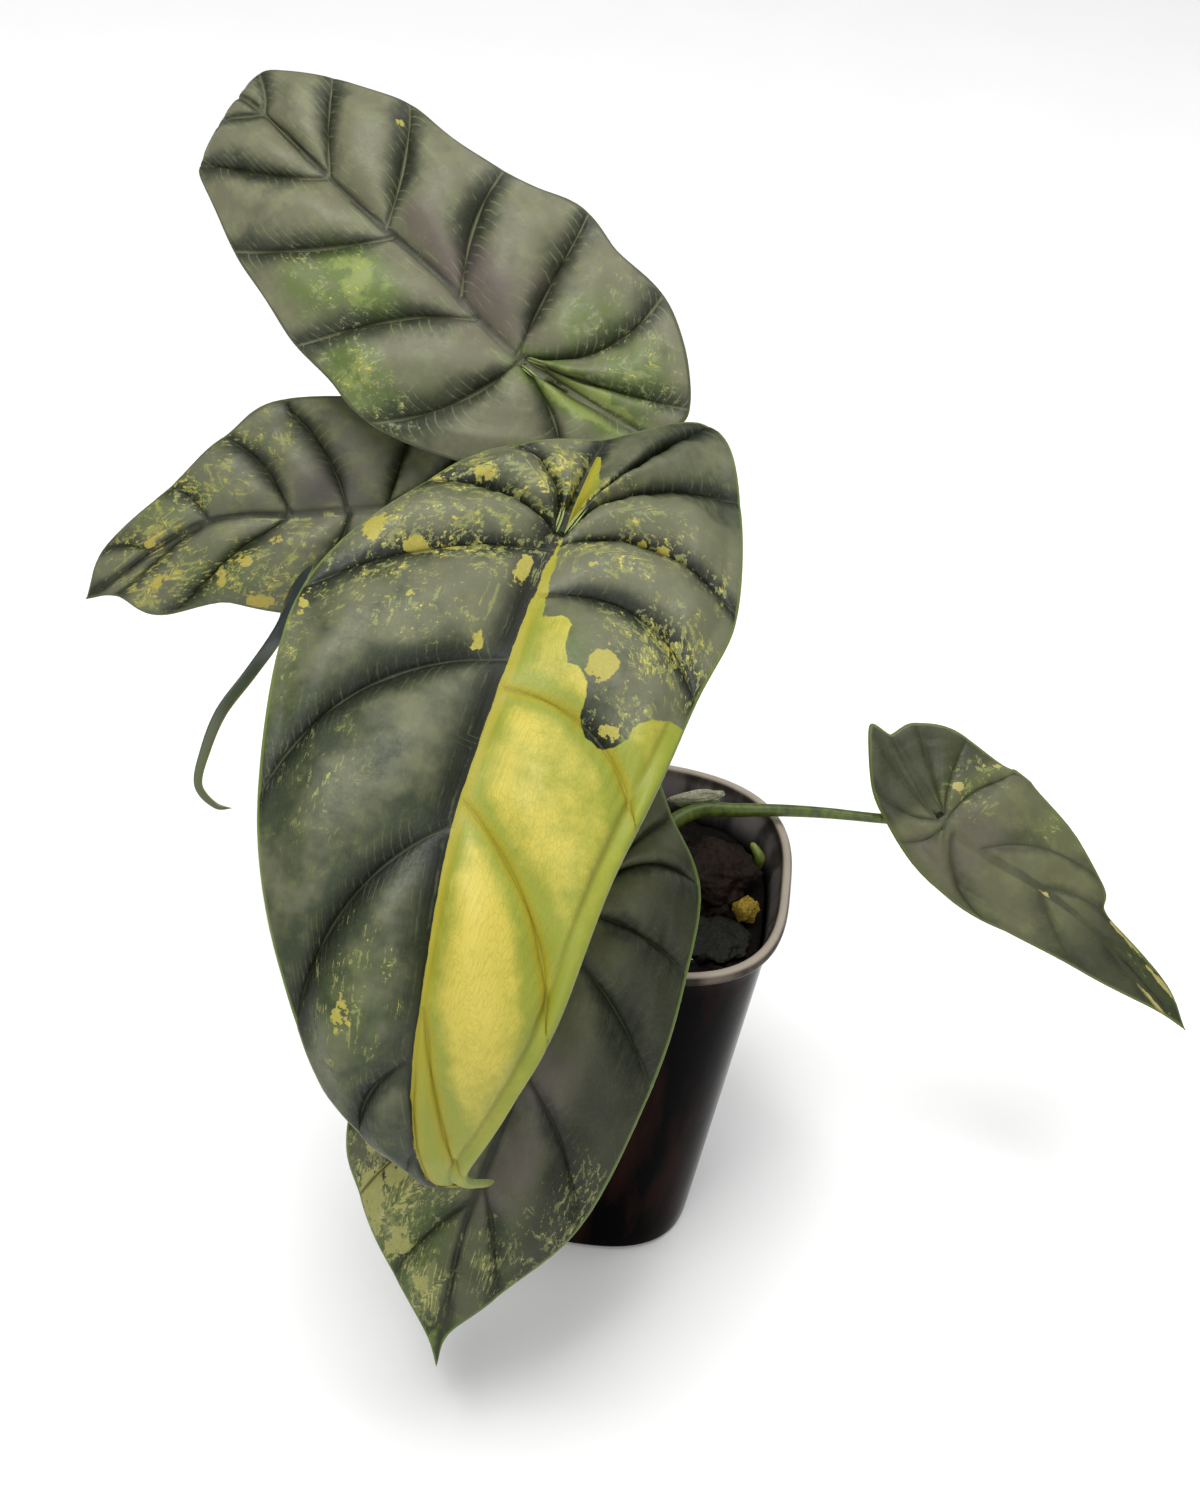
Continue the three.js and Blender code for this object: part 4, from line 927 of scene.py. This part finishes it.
def sheet_normals(points, faces):
    """Area-weighted normals at the points of a sheet."""
    normals = np.zeros_like(points)
    triangles = np.array([[f[0], f[k], f[k + 1]] for f in faces for k in range(1, len(f) - 1)])
    a, b, c = (points[triangles[:, k]] for k in range(3))
    cross = np.cross(b - a, c - a)
    for k in range(3):
        np.add.at(normals, triangles[:, k], cross)
    return unit(normals)


def marked(name, kind, sheet):
    """The value of one kind of marking at each point of a blade."""
    value = np.zeros(len(sheet["s"]))
    for side, s, q, half_length, half_width, strength in MARKS[name].get(kind, ()):
        reach = ((sheet["s"] - s) / half_length) ** 2 + ((sheet["q"] - q) / half_width) ** 2
        sharp = reach ** 2 if kind == "cream" else reach
        value = np.maximum(value, strength * np.exp(-0.7 * sharp) * (sheet["side"] == side))
    return value


def hill(x, width):
    """A rounded hill of height 1 at x = 0."""
    return np.exp(-(x / width) ** 2)


def blade_faces(name, leaf, sheet, normals, thickness):
    """Points of the upper and the lower face: creases above, ribs below, a round edge."""
    margin, vein, s, q, v = (sheet[key] for key in ("margin", "vein", "s", "q", "v"))
    length, points = sheet["length"], sheet["point"]
    # The margin is turned up a little, more along the front leaf's yellow half
    rim = np.full(len(s), MARGIN_LIFT)
    if name == "front":
        rim = np.where(sheet["side"] == 1, MARGIN_LIFT + YELLOW_LIFT * smooth(s, 24, 40), rim)
    lifted = rim * np.sin(np.pi * np.clip(margin / ROLL_WIDTH, 0, 1))
    lifted -= 0.6 * rim * hill(margin - ROLL_GROOVE, 0.5)
    crease = CREASE_DEPTH * min(1, leaf["relief"] / 1.8) * hill(vein, 0.4) * smooth(margin, 0.3, 2)
    # Fine puckers across the veins, and slow billows all over
    shift = 1.3 * np.sin(2.1 * sheet["row"])
    pucker = PUCKER_DEPTH * np.sin(2 * np.pi * sheet["trace"] / PUCKER_PITCH + shift)
    pucker *= hill(vein, 3.5) * smooth(vein, 0.2, 1.2) * smooth(margin, 1, 4) * smooth(q, 3, 8)
    billow = BILLOW_DEPTH * np.sin(0.55 * s + 1.1 * np.sin(0.3 * q)) * np.sin(0.5 * q - 0.2 * s + 1)
    waves = pucker + billow * smooth(margin, 0, 6)
    round_edge = np.sqrt(1 - (1 - np.clip(margin / EDGE_ROUNDING, 0, 1)) ** 2)
    rib = RIB_HEIGHT * hill(vein, 0.6) * (1 - 0.7 * v)
    rib *= smooth(margin, 0.5, 3) * smooth(np.hypot(s, q), 7, 13)
    keel = KEEL_HEIGHT * (1 - 0.65 * np.clip(s / length, 0, 1)) * hill(q, 1.2)
    keel *= smooth(length + 6 - s, 0, 20) * smooth(s, 1, 5)
    above = thickness / 2 * round_edge + lifted - crease + waves
    below = (thickness / 2 + np.maximum(rib, keel)) * round_edge - lifted - waves
    return points + normals * above[:, None], points - normals * below[:, None]


def shading(name, leaf, sheet):
    """How silver each point's panel is, and how deep in a vein's dark valley it lies; both also carry painted
    shade, and the front panels a painted sheen.
    """
    vein, s, q, right = sheet["vein"], sheet["s"], sheet["q"], sheet["side"] > 0
    wide = np.maximum(sheet["wide"], 1.2)
    valley = hill(vein, np.minimum(leaf["dark"] * (1 - 0.45 * sheet["v"]), 0.45 * wide))
    valley = np.clip(valley * (1 - 0.45 * hill(q, 4)) + 0.75 * hill(q, 1.3), 0, 1)
    panel = 0.75 * smooth(vein, 0.2, np.minimum(leaf["spread"], 0.85 * wide))
    if name == "front":
        # Painted shade beside the left midrib, where the panels slope down into it, and darker down the
        # blade, partly the leaf's own deeper green and partly painted shade of its steep lower part
        beside = hill(q, 5) * smooth(s, -14, -4) * (1 - 0.5 * smooth(s, 50, 80)) * ~right
        panel -= 0.5 * smooth(s, 0, 55) * np.where(right, 0.4, 1) + 0.4 * beside
        # Paler, with a painted soft sheen, over the first right panels, and painted shade over the right lobe
        # above the stalk joint
        panel += (0.8 * hill(s + 2, 9) * hill(q - 12, 7) - 0.35 * smooth(-s, 8, 15)) * right
        valley = np.maximum(valley, 1.1 * beside)
    if name == "lower":
        # Painted shade over the lower blade's right half, out from the midrib
        valley = np.maximum(valley, 1.1 * smooth(q, 3, 14) * right)
    if name == "right":
        # Faint veins, and painted shade over the tip and over the lobes by the stalk joint
        valley *= 0.6 * (1 - 0.6 * smooth(-s, -2, 4))
        valley = np.maximum(valley, 1.2 * smooth(s, 20, 40) + 1.5 * smooth(-s, 0, 8))
    return panel, valley


def inside_yellow(name, sheet):
    """Distance inside the front leaf's yellow half, which runs a little over the midrib."""
    s, q = sheet["s"], sheet["q"]
    if name != "front":
        return np.full(len(s), -9.0)
    far = distance_to_line(s, q, YELLOW_HALF + YELLOW_HALF[:1])
    over_midrib = np.where(s > 1, 0.2 - q, -9)
    inside = np.where(inside_loop(s, q, YELLOW_HALF), far, -far)
    return np.clip(np.where(sheet["side"] == 1, inside, over_midrib), -9, 6)


def blade(name, leaf, settings, material):
    """One grown blade: two faces that meet in a round margin, and the values that colour it."""
    sheet, faces = blade_sheet(leaf)
    normals = sheet_normals(sheet["point"], faces)
    upper, lower = blade_faces(name, leaf, sheet, normals, settings.blade_thickness / MM)
    count = len(upper)
    flipped = [[i + count for i in reversed(face)] for face in faces]
    panel, valley = shading(name, leaf, sheet)
    fields = {"vein": sheet["vein"], "margin": sheet["margin"], "valley": valley, "panel": panel,
              "along": sheet["trace"] + 3.7 * np.round(sheet["row"]), "yellow": inside_yellow(name, sheet)}
    for kind in ("cream", "fleck", "green", "plum"):
        fields[kind] = marked(name, kind, sheet)
    both = {key: np.concatenate([values, values]) for key, values in fields.items()}
    both["upper"] = np.concatenate([np.ones(count), np.zeros(count)])
    points = np.concatenate([upper, lower])
    piece = mesh_object("leaf_" + name, points, faces + flipped, [material], both, weld=0.003)
    own(piece, "leaf", "blade_" + name)


def young_blade(material):
    """The folded young blade: a rounded chevron swept along its curl."""
    steps, around = 110, 28
    line = through(YOUNG["outline"], np.linspace(0, len(YOUNG["outline"]) - 1, steps + 1))
    place, facing, out = station(midrib_of(YOUNG), line[:, 0])
    points, upper = [], []
    for i in range(steps + 1):
        wing, fold = line[i, 1], math.radians(line[i, 2])
        thick = min(YOUNG["thickness"], 0.45 * wing)
        foot, tip = min(1, (i + 0.4) / 5), min(1, (steps - i + 0.4) / 8)
        end = math.sin(math.pi * foot / 2) * math.sin(math.pi * tip / 2)
        for k in range(around):
            # From one wing's edge to the other above, and back below
            turn = 2 * k / around
            lower = turn >= 1
            x = 2 * (2 - turn if lower else turn) - 1
            bend = math.sqrt(x * x + 0.02) - math.sqrt(0.02)
            side = x * wing * math.cos(fold) * end
            height = -bend * wing * math.sin(fold) * end
            if lower:
                edge = math.sqrt(max(0.0, 1 - x ** 8))
                height -= thick * edge * end * (1 + 0.5 * math.exp(-(x / 0.15) ** 2))
            points.append(place[i] + out[i] * side + facing[i] * (height + thick))
            upper.append(0.0 if lower else 1.0)
    piece = mesh_object("leaf_young", points, ring_faces(steps + 1, around), [material], {"upper": upper},
                        weld=0.001)
    own(piece, "leaf", "blade_young")


# Pot and what is in it

def square_ring(half_width, z, count):
    """Points round a square with well rounded corners."""
    angle = 2 * np.pi * (np.arange(count) + 0.5) / count
    c, s = np.cos(angle), np.sin(angle)
    reach = half_width / (np.abs(c) ** POT_SQUARENESS + np.abs(s) ** POT_SQUARENESS) ** (1 / POT_SQUARENESS)
    return np.stack([reach * c, reach * s, np.broadcast_to(z, c.shape)], -1)


def wall_half_width(z):
    """Half the outer width of the pot's wall at a height."""
    wall_top = POT_HALF_WIDTH - RIM_STAND_OUT
    return POT_FOOT_HALF_WIDTH + (wall_top - POT_FOOT_HALF_WIDTH) * z / POT_HEIGHT


def mix_height(x, y):
    """The mix's gently waved top."""
    coarse = np.sin(0.42 * x + 1.3) * np.cos(0.37 * y - 0.6)
    fine = np.sin(1.1 * x - 0.4) * np.sin(0.9 * y + 2)
    return MIX_TOP + MIX_WAVE * (0.7 * coarse + 0.3 * fine)


def ring_values(count, rings, first):
    """A value for each point of the rings: 0, and 1 from one ring on."""
    return np.repeat(np.where(np.arange(rings) >= first, 1.0, 0.0), count)


def pot_mesh(settings):
    """The pot's wall, rolled rim and floor as one closed skin, with a value that is 1 inside."""
    count = settings.pot_sides
    foot = [(POT_FOOT_HALF_WIDTH - inset, z) for inset, z in ((1.3, 0), (0.9, 0.05), (0.35, 0.3), (0, 0.75))]
    wall = [(wall_half_width(z), z) for z in np.linspace(1.2, RIM_FOOT - 0.3, 22)]
    bead = []
    for a in np.radians(np.linspace(-125, 180, 18)):
        out = RIM_BEAD_WIDTH * math.cos(a) * (1 if math.cos(a) > 0 else 0.75)
        bead.append((POT_HALF_WIDTH - RIM_BEAD_WIDTH + out, POT_HEIGHT + RIM_BEAD_HEIGHT * (math.sin(a) - 1)))
    inner = [(wall_half_width(z) - POT_WALL, z) for z in np.linspace(RIM_FOOT - 0.6, POT_FLOOR + 0.8, 20)]
    inner += [(wall_half_width(POT_FLOOR) - POT_WALL - 0.5, POT_FLOOR + 0.1),
              (wall_half_width(POT_FLOOR) - 1.8, POT_FLOOR)]
    outside = [(w, 0.0) for w in reversed(FLOOR_RINGS)] + foot + wall + bead
    rings = outside + inner + [(w, POT_FLOOR) for w in FLOOR_RINGS]
    points = np.concatenate([square_ring(w, z, count) for w, z in rings])
    return points, ring_faces(len(rings), count), ring_values(count, len(rings), len(outside) - 1)


def drained(piece):
    """Cut the round drain holes and drop the cutters."""
    cutter_mesh = bpy.data.meshes.new("drain_cutter")
    shape = bmesh.new()
    for k in range(DRAIN_COUNT):
        angle = 2 * math.pi * k / DRAIN_COUNT
        middle = Vector((DRAIN_RING * math.cos(angle), DRAIN_RING * math.sin(angle), 0.5))
        spot = Matrix.Translation(middle * MM)
        bmesh.ops.create_cone(shape, cap_ends=True, segments=40, radius1=DRAIN_RADIUS * MM,
                              radius2=DRAIN_RADIUS * MM, depth=6 * MM, matrix=spot)
    shape.to_mesh(cutter_mesh)
    shape.free()
    cutter = placed("drain_cutter", cutter_mesh)
    cut = piece.modifiers.new("Drain", "BOOLEAN")
    cut.object = cutter
    cut.operation = "DIFFERENCE"
    cut.solver = "EXACT"
    piece.data = settled(piece, cut)
    bpy.data.objects.remove(cutter)


def mix_mesh():
    """The filled cup of mix with a rough top, and a value that is 1 where chips may lie."""
    count = 120
    gap = POT_WALL + CLEARANCE
    rings = [square_ring(wall_half_width(z) - gap, z, count)
             for z in (POT_FLOOR + CLEARANCE, 15, 30, 45, 56, 59)]
    top_from = len(rings) + 5
    for share in np.linspace(1, 0.03, 34):
        ring = square_ring((wall_half_width(MIX_TOP - 2) - gap) * share, 0.0, count)
        x, y = ring[:, 0], ring[:, 1]
        crumbs = 0.35 * np.sin(2.3 * x + 1.7 * y) * np.sin(2.9 * y - 1.1 * x)
        crumbs += 0.2 * np.sin(5.1 * x) * np.sin(4.7 * y + 1)
        hollow = 0.65 * hill(np.hypot(x, y) - CROWN_RADIUS, 2.4)
        ring[:, 2] = mix_height(x, y) + crumbs * min(1, (1 - share) * 12 + 0.2) - hollow
        rings.append(ring)
    return np.concatenate(rings), ring_faces(len(rings), count), ring_values(count, len(rings), top_from)


def mix_tree():
    """Geometry Nodes: bark chips and pale grains scattered over the top of the mix."""
    tree, given = geometry_tree("Chips over the mix", (
        ("Chips per square metre", "Float", 120000.0), ("Chip size", "Float", 2.1 * MM),
        ("Grains per square metre", "Float", 16000.0), ("Grain size", "Float", 0.6 * MM), ("Seed", "Int", 7),
        ("Soil", "Material", None), ("Bark", "Material", None), ("Grain", "Material", None)))
    top = add(tree, "GeometryNodeInputNamedAttribute", {"Name": "top"}, data_type="FLOAT")
    on_top = add(tree, "FunctionNodeCompare", {0: top, 1: 0.5}, data_type="FLOAT", operation="GREATER_THAN")
    parts = [add(tree, "GeometryNodeSetMaterial", {"Geometry": given["Geometry"], "Material": given["Soil"]})]
    for density, size, stuff, offset, flat in (
            ("Chips per square metre", "Chip size", "Bark", 0.0, (1.0, 0.55, 0.32)),
            ("Grains per square metre", "Grain size", "Grain", 5.0, (1.0, 0.9, 0.8))):
        seed = add(tree, MATH, (given["Seed"], offset), operation="ADD")
        spots = add(tree, "GeometryNodeDistributePointsOnFaces", {
            "Mesh": given["Geometry"], "Selection": on_top, "Density": given[density], "Seed": seed})
        ball = add(tree, "GeometryNodeMeshIcoSphere", {"Radius": given[size], "Subdivisions": 1})
        rough = add(tree, NOISE_COLOUR, {"Scale": 600.0, "Detail": 1.0})
        middle = add(tree, VECTOR, (rough, (0.5, 0.5, 0.5)), operation="SUBTRACT")
        push = add(tree, VECTOR, {0: middle, "Scale": given[size]}, operation="SCALE")
        dented = add(tree, "GeometryNodeSetPosition", {"Geometry": ball, "Offset": push})
        squashed = add(tree, "GeometryNodeTransform", {"Geometry": dented, "Scale": flat})
        turn = add(tree, "FunctionNodeRandomValue", {0: (-0.7, -0.7, 0.0), 1: (0.7, 0.7, 6.28), "Seed": seed},
                   data_type="FLOAT_VECTOR")
        grow = add(tree, RANDOM_NUMBER, {2: 0.45, 3: 1.35, "Seed": seed})
        spread = add(tree, "GeometryNodeInstanceOnPoints", {
            "Points": spots, "Instance": squashed, "Rotation": turn, "Scale": grow})
        real = add(tree, "GeometryNodeRealizeInstances", {"Geometry": spread})
        parts.append(add(tree, "GeometryNodeSetMaterial", {"Geometry": real, "Material": given[stuff]}))
    joined = add(tree, "GeometryNodeJoinGeometry")
    for part in parts:
        tree.links.new(part, joined.node.inputs[0])
    add(tree, "NodeGroupOutput", (add(tree, "GeometryNodeSetShadeSmooth", {"Geometry": joined}),))
    return tree


def lump(name):
    """A broken lump: a fine ball with the solid's dents and its own chipped surface."""
    middle, half, turn, slot, seed, chipping, tight, stuff = LOOSE[name]
    mesh = bpy.data.meshes.new(name)
    shape = bmesh.new()
    bmesh.ops.create_icosphere(shape, subdivisions=5, radius=1)
    generator = np.random.default_rng(seed)
    waves = [(generator.normal(size=3) * pitch, generator.uniform(0, 6.28), height)
             for pitch, height in CHIPPED_WAVES for _ in range(4)]
    spin = Matrix.Rotation(math.radians(turn), 3, "Z")
    for vertex in shape.verts:
        p = vertex.co.copy()
        dent = 1 - 0.14 * math.sin(5 * p.x + 3 * p.y) * math.cos(4 * p.z - 2 * p.x)
        chipped = sum(a * (abs(math.sin(w[0] * p.x * tight + w[1] * p.y + w[2] * p.z + o)) - 0.6)
                      for w, o, a in waves)
        p *= dent * (1.0 - chipping * chipped)
        p = spin @ Vector((p.x * half[0], p.y * half[1], p.z * half[2]))
        vertex.co = (p + Vector(middle)) * MM
    for face in shape.faces:
        face.smooth = True
    shape.to_mesh(mesh)
    shape.free()
    mesh.materials.append(damp_matter(*stuff))
    own(placed("dressed_" + name, mesh), slot, name)


# Crown and roots

def crown_mesh():
    """The short stem wrapped in sheathing stalk bases."""
    profile = [(0.3, CROWN_FOOT - 0.2), (2.6, CROWN_FOOT + 0.1), (CROWN_RADIUS - 1.2, CROWN_FOOT + 5),
               (CROWN_RADIUS, MIX_TOP - 2), (CROWN_RADIUS - 0.4, MIX_TOP + 3),
               (CROWN_RADIUS - 2.2, CROWN_TOP - 0.4), (0.3, CROWN_TOP + 0.3)]
    rows, count = 60, 96
    angle = 2 * np.pi * np.arange(count) / count
    points = []
    for radius, z in through(profile, np.linspace(0, len(profile) - 1, rows)):
        lift = np.clip((z - CROWN_FOOT) / (CROWN_TOP - CROWN_FOOT), 0, 1)
        sheath = 1 + 0.07 * lift * np.abs(np.sin(2.5 * angle + 2.2 * lift)) - 0.07 * lift
        reach = radius * (sheath - 0.02 * np.sin(17 * angle + 3 * z))
        points.append(np.stack([reach * np.cos(angle), reach * np.sin(angle), np.full(count, z)], -1))
    return np.concatenate(points), ring_faces(rows, count)


def root_lines():
    """Thick roots that leave the crown all round and turn down."""
    lines = []
    for k in range(ROOT_COUNT):
        turn = math.radians(25 + 360 / ROOT_COUNT * k)
        reach = ROOT_REACH * (0.8 + 0.2 * math.cos(k * 2.3))
        path = [(r * math.cos(a), r * math.sin(a), z) for r, a, z in (
            (2, turn, CROWN_FOOT + 6), (0.6 * reach, turn, CROWN_FOOT - 8),
            (reach, turn + 0.3, ROOT_END + 6 * math.sin(k * 1.7) ** 2))]
        lines.append(tube_line(path, (ROOT_RADIUS, 0.5 * ROOT_RADIUS), 60))
    return lines


# Settings, operators and panel

class AlocasiaSettings(bpy.types.PropertyGroup):
    """Sizes and colours of the plant that a user may change."""

    blade_thickness: FloatProperty(
        name="Blade thickness", description="Thickness of a grown leaf blade between its veins",
        default=0.6 * MM, min=0.2 * MM, max=0.9 * MM, unit="LENGTH")
    silver: FloatVectorProperty(
        name="Silver", description="Colour of the panels between the veins",
        default=linear(SILVER_LEAF["silver"])[:3], size=3, subtype="COLOR", min=0, max=1)
    pot_sides: IntProperty(
        name="Pot smoothness", description="Sides round the rounded-square pot", default=160, min=40, max=240)


class ALOCASIA_OT_blades(bpy.types.Operator):
    """Build the five grown blades and the young one"""

    bl_idname = "alocasia.blades"
    bl_label = "Build the blades"

    def execute(self, context):
        settings = context.scene.alocasia
        # The chosen silver tints every leaf's own
        usual = linear(SILVER_LEAF["silver"])
        tint = [wanted / given for wanted, given in zip(settings.silver, usual)]
        for name, leaf in LEAVES.items():
            colours = {**SILVER_LEAF, **TONES[name]}
            colours["silver"] = [value * share for value, share in zip(linear(colours["silver"]), tint)] + [1]
            blade(name, leaf, settings, leaf_cuticle("leaf_cuticle_" + name, colours))
        young_blade(young_leaf_skin())
        return {"FINISHED"}


class ALOCASIA_OT_stalks(bpy.types.Operator):
    """Build the leaf stalks, the sprout, the crown and its roots"""

    bl_idname = "alocasia.stalks"
    bl_label = "Build the stalks and crown"

    def execute(self, context):
        tree = tube_tree()
        skin = stalk_skin("stalk_skin", "#303b0c", "#536418", "#23270f")
        for name, leaf in {**LEAVES, "young": YOUNG}.items():
            place, facing, _ = station(midrib_of(leaf), np.array([0.0]))
            gap = leaf.get("stalk_gap", STALK_GAP)
            path = leaf["stalk"] + [place[0] - facing[0] * below for below in (gap + STALK_NECK, gap)]
            base = curve_object("stalk_path_" + name, [tube_line(path, leaf["stalk_radius"], 90)])
            piece = grown(base, tree, "stalk_skin_" + name, {"Skin": skin, "Sides": 28})
            own(piece, "stalk", "stalk_" + name)
        green = stalk_skin("sprout_skin", "#56662a", "#87913f", "#414f20")
        sprout = curve_object("sprout_path", [tube_line(SPROUT, SPROUT_RADIUS, 50)])
        shoot = grown(sprout, tree, "green_shoot", {"Skin": green, "Sides": 24, "Ring spacing": 0.3 * MM})
        own(shoot, "stalk", "sprout")
        sheath_skin = stalk_skin("sheath_skin", "#4e5a24", "#8b8c4c", "#5b4a2c")
        stem = mesh_object("crown_stem", *crown_mesh(), [sheath_skin])
        root_skin = stalk_skin("root_skin", "#8c7a55", "#c2b48a", "#6a583a")
        root_paths = curve_object("root_paths", root_lines())
        roots = grown(root_paths, tree, "roots", {"Skin": root_skin, "Sides": 14})
        own(stem, "crown", "crown_and_roots")
        own(roots, "crown")
        return {"FINISHED"}


class ALOCASIA_OT_pot(bpy.types.Operator):
    """Build the nursery pot"""

    bl_idname = "alocasia.pot"
    bl_label = "Build the pot"

    def execute(self, context):
        points, faces, inner = pot_mesh(context.scene.alocasia)
        piece = mesh_object("nursery_pot", points, faces, [smoky_polypropylene()], {"inner": inner})
        drained(piece)
        own(piece, "pot", "pot")
        return {"FINISHED"}


class ALOCASIA_OT_mix(bpy.types.Operator):
    """Build the potting mix and the small things that lie on it"""

    bl_idname = "alocasia.mix"
    bl_label = "Build the mix"

    def execute(self, context):
        soil = damp_matter("damp_coir_mix", "#030201", "#120b07", 2.2, 0.5, 0.85)
        chips = damp_matter("composted_bark", "#060302", "#1c120c", 1.6, 0.4, 0.8)
        grain = damp_matter("perlite_grain", "#b9b4aa", "#e6e2da", 0.5, 0.1, 0.9)
        points, faces, top = mix_mesh()
        base = mesh_object("mix_base", points, faces, [], {"top": top})
        piece = grown(base, mix_tree(), "coir_and_bark_mix", {"Soil": soil, "Bark": chips, "Grain": grain})
        own(piece, "mix", "potting_mix")
        for name in LOOSE:
            lump(name)
        return {"FINISHED"}


class ALOCASIA_OT_stage(bpy.types.Operator):
    """Build the floor, the soft lights and the camera"""

    bl_idname = "alocasia.stage"
    bl_label = "Build the stage"

    def execute(self, context):
        scene = context.scene
        card = studio_card()
        mesh = bpy.data.meshes.new("studio_floor")
        far = FLOOR_HALF_SIZE
        mesh.from_pydata([(-far, -far, 0), (far, -far, 0), (far, far, 0), (-far, far, 0)], [], [(0, 1, 2, 3)])
        mesh.materials.append(card)
        floor = placed("studio_floor", mesh)
        scene.world = bpy.data.worlds.new("soft_room")
        scene.world.use_nodes = True
        sky = scene.world.node_tree.nodes["Background"]
        sky.inputs[0].default_value = linear(SKY_COLOUR)
        sky.inputs[1].default_value = SKY_STRENGTH
        for name, place, target, size, power in LIGHTS:
            light = bpy.data.lights.new(name, "AREA")
            light.size = size
            light.energy = power
            lamp = placed(name, light)
            lamp.location = place
            lamp.rotation_euler = (Vector(target) - Vector(place)).to_track_quat("-Z", "Y").to_euler()
        lens = bpy.data.cameras.new("camera")
        lens.lens = LENS_LENGTH
        lens.sensor_width = SENSOR_WIDTH
        lens.sensor_fit = "AUTO"
        lens.clip_end = 20
        forward = Vector(CAMERA_FORWARD).normalized()
        up = Vector(CAMERA_UP)
        up = (up - forward * up.dot(forward)).normalized()
        turn = Matrix((forward.cross(up), up, -forward)).transposed().to_4x4()
        scene.camera = placed("camera", lens)
        scene.camera.matrix_world = Matrix.Translation(CAMERA_PLACE) @ turn
        scene.view_settings.view_transform = "Standard"
        return {"FINISHED"}


class ALOCASIA_PT_panel(bpy.types.Panel):
    """Sidebar panel with the settings and the build steps."""

    bl_idname = "ALOCASIA_PT_panel"
    bl_label = "Silver dragon alocasia"
    bl_space_type = "VIEW_3D"
    bl_region_type = "UI"
    bl_category = "Alocasia"

    def draw(self, context):
        settings = context.scene.alocasia
        for name in ("blade_thickness", "silver", "pot_sides"):
            self.layout.prop(settings, name)
        for step in STEPS:
            self.layout.operator(step.bl_idname)


STEPS = (ALOCASIA_OT_stage, ALOCASIA_OT_pot, ALOCASIA_OT_mix, ALOCASIA_OT_stalks, ALOCASIA_OT_blades)
CLASSES = (AlocasiaSettings, *STEPS, ALOCASIA_PT_panel)


def register():
    for kind in CLASSES:
        bpy.utils.register_class(kind)
    bpy.types.Scene.alocasia = PointerProperty(type=AlocasiaSettings)


def unregister():
    del bpy.types.Scene.alocasia
    for kind in reversed(CLASSES):
        bpy.utils.unregister_class(kind)


def main():
    register()
    bpy.ops.alocasia.stage()
    bpy.ops.alocasia.pot()
    bpy.ops.alocasia.mix()
    bpy.ops.alocasia.stalks()
    bpy.ops.alocasia.blades()


if __name__ == "__main__":
    main()
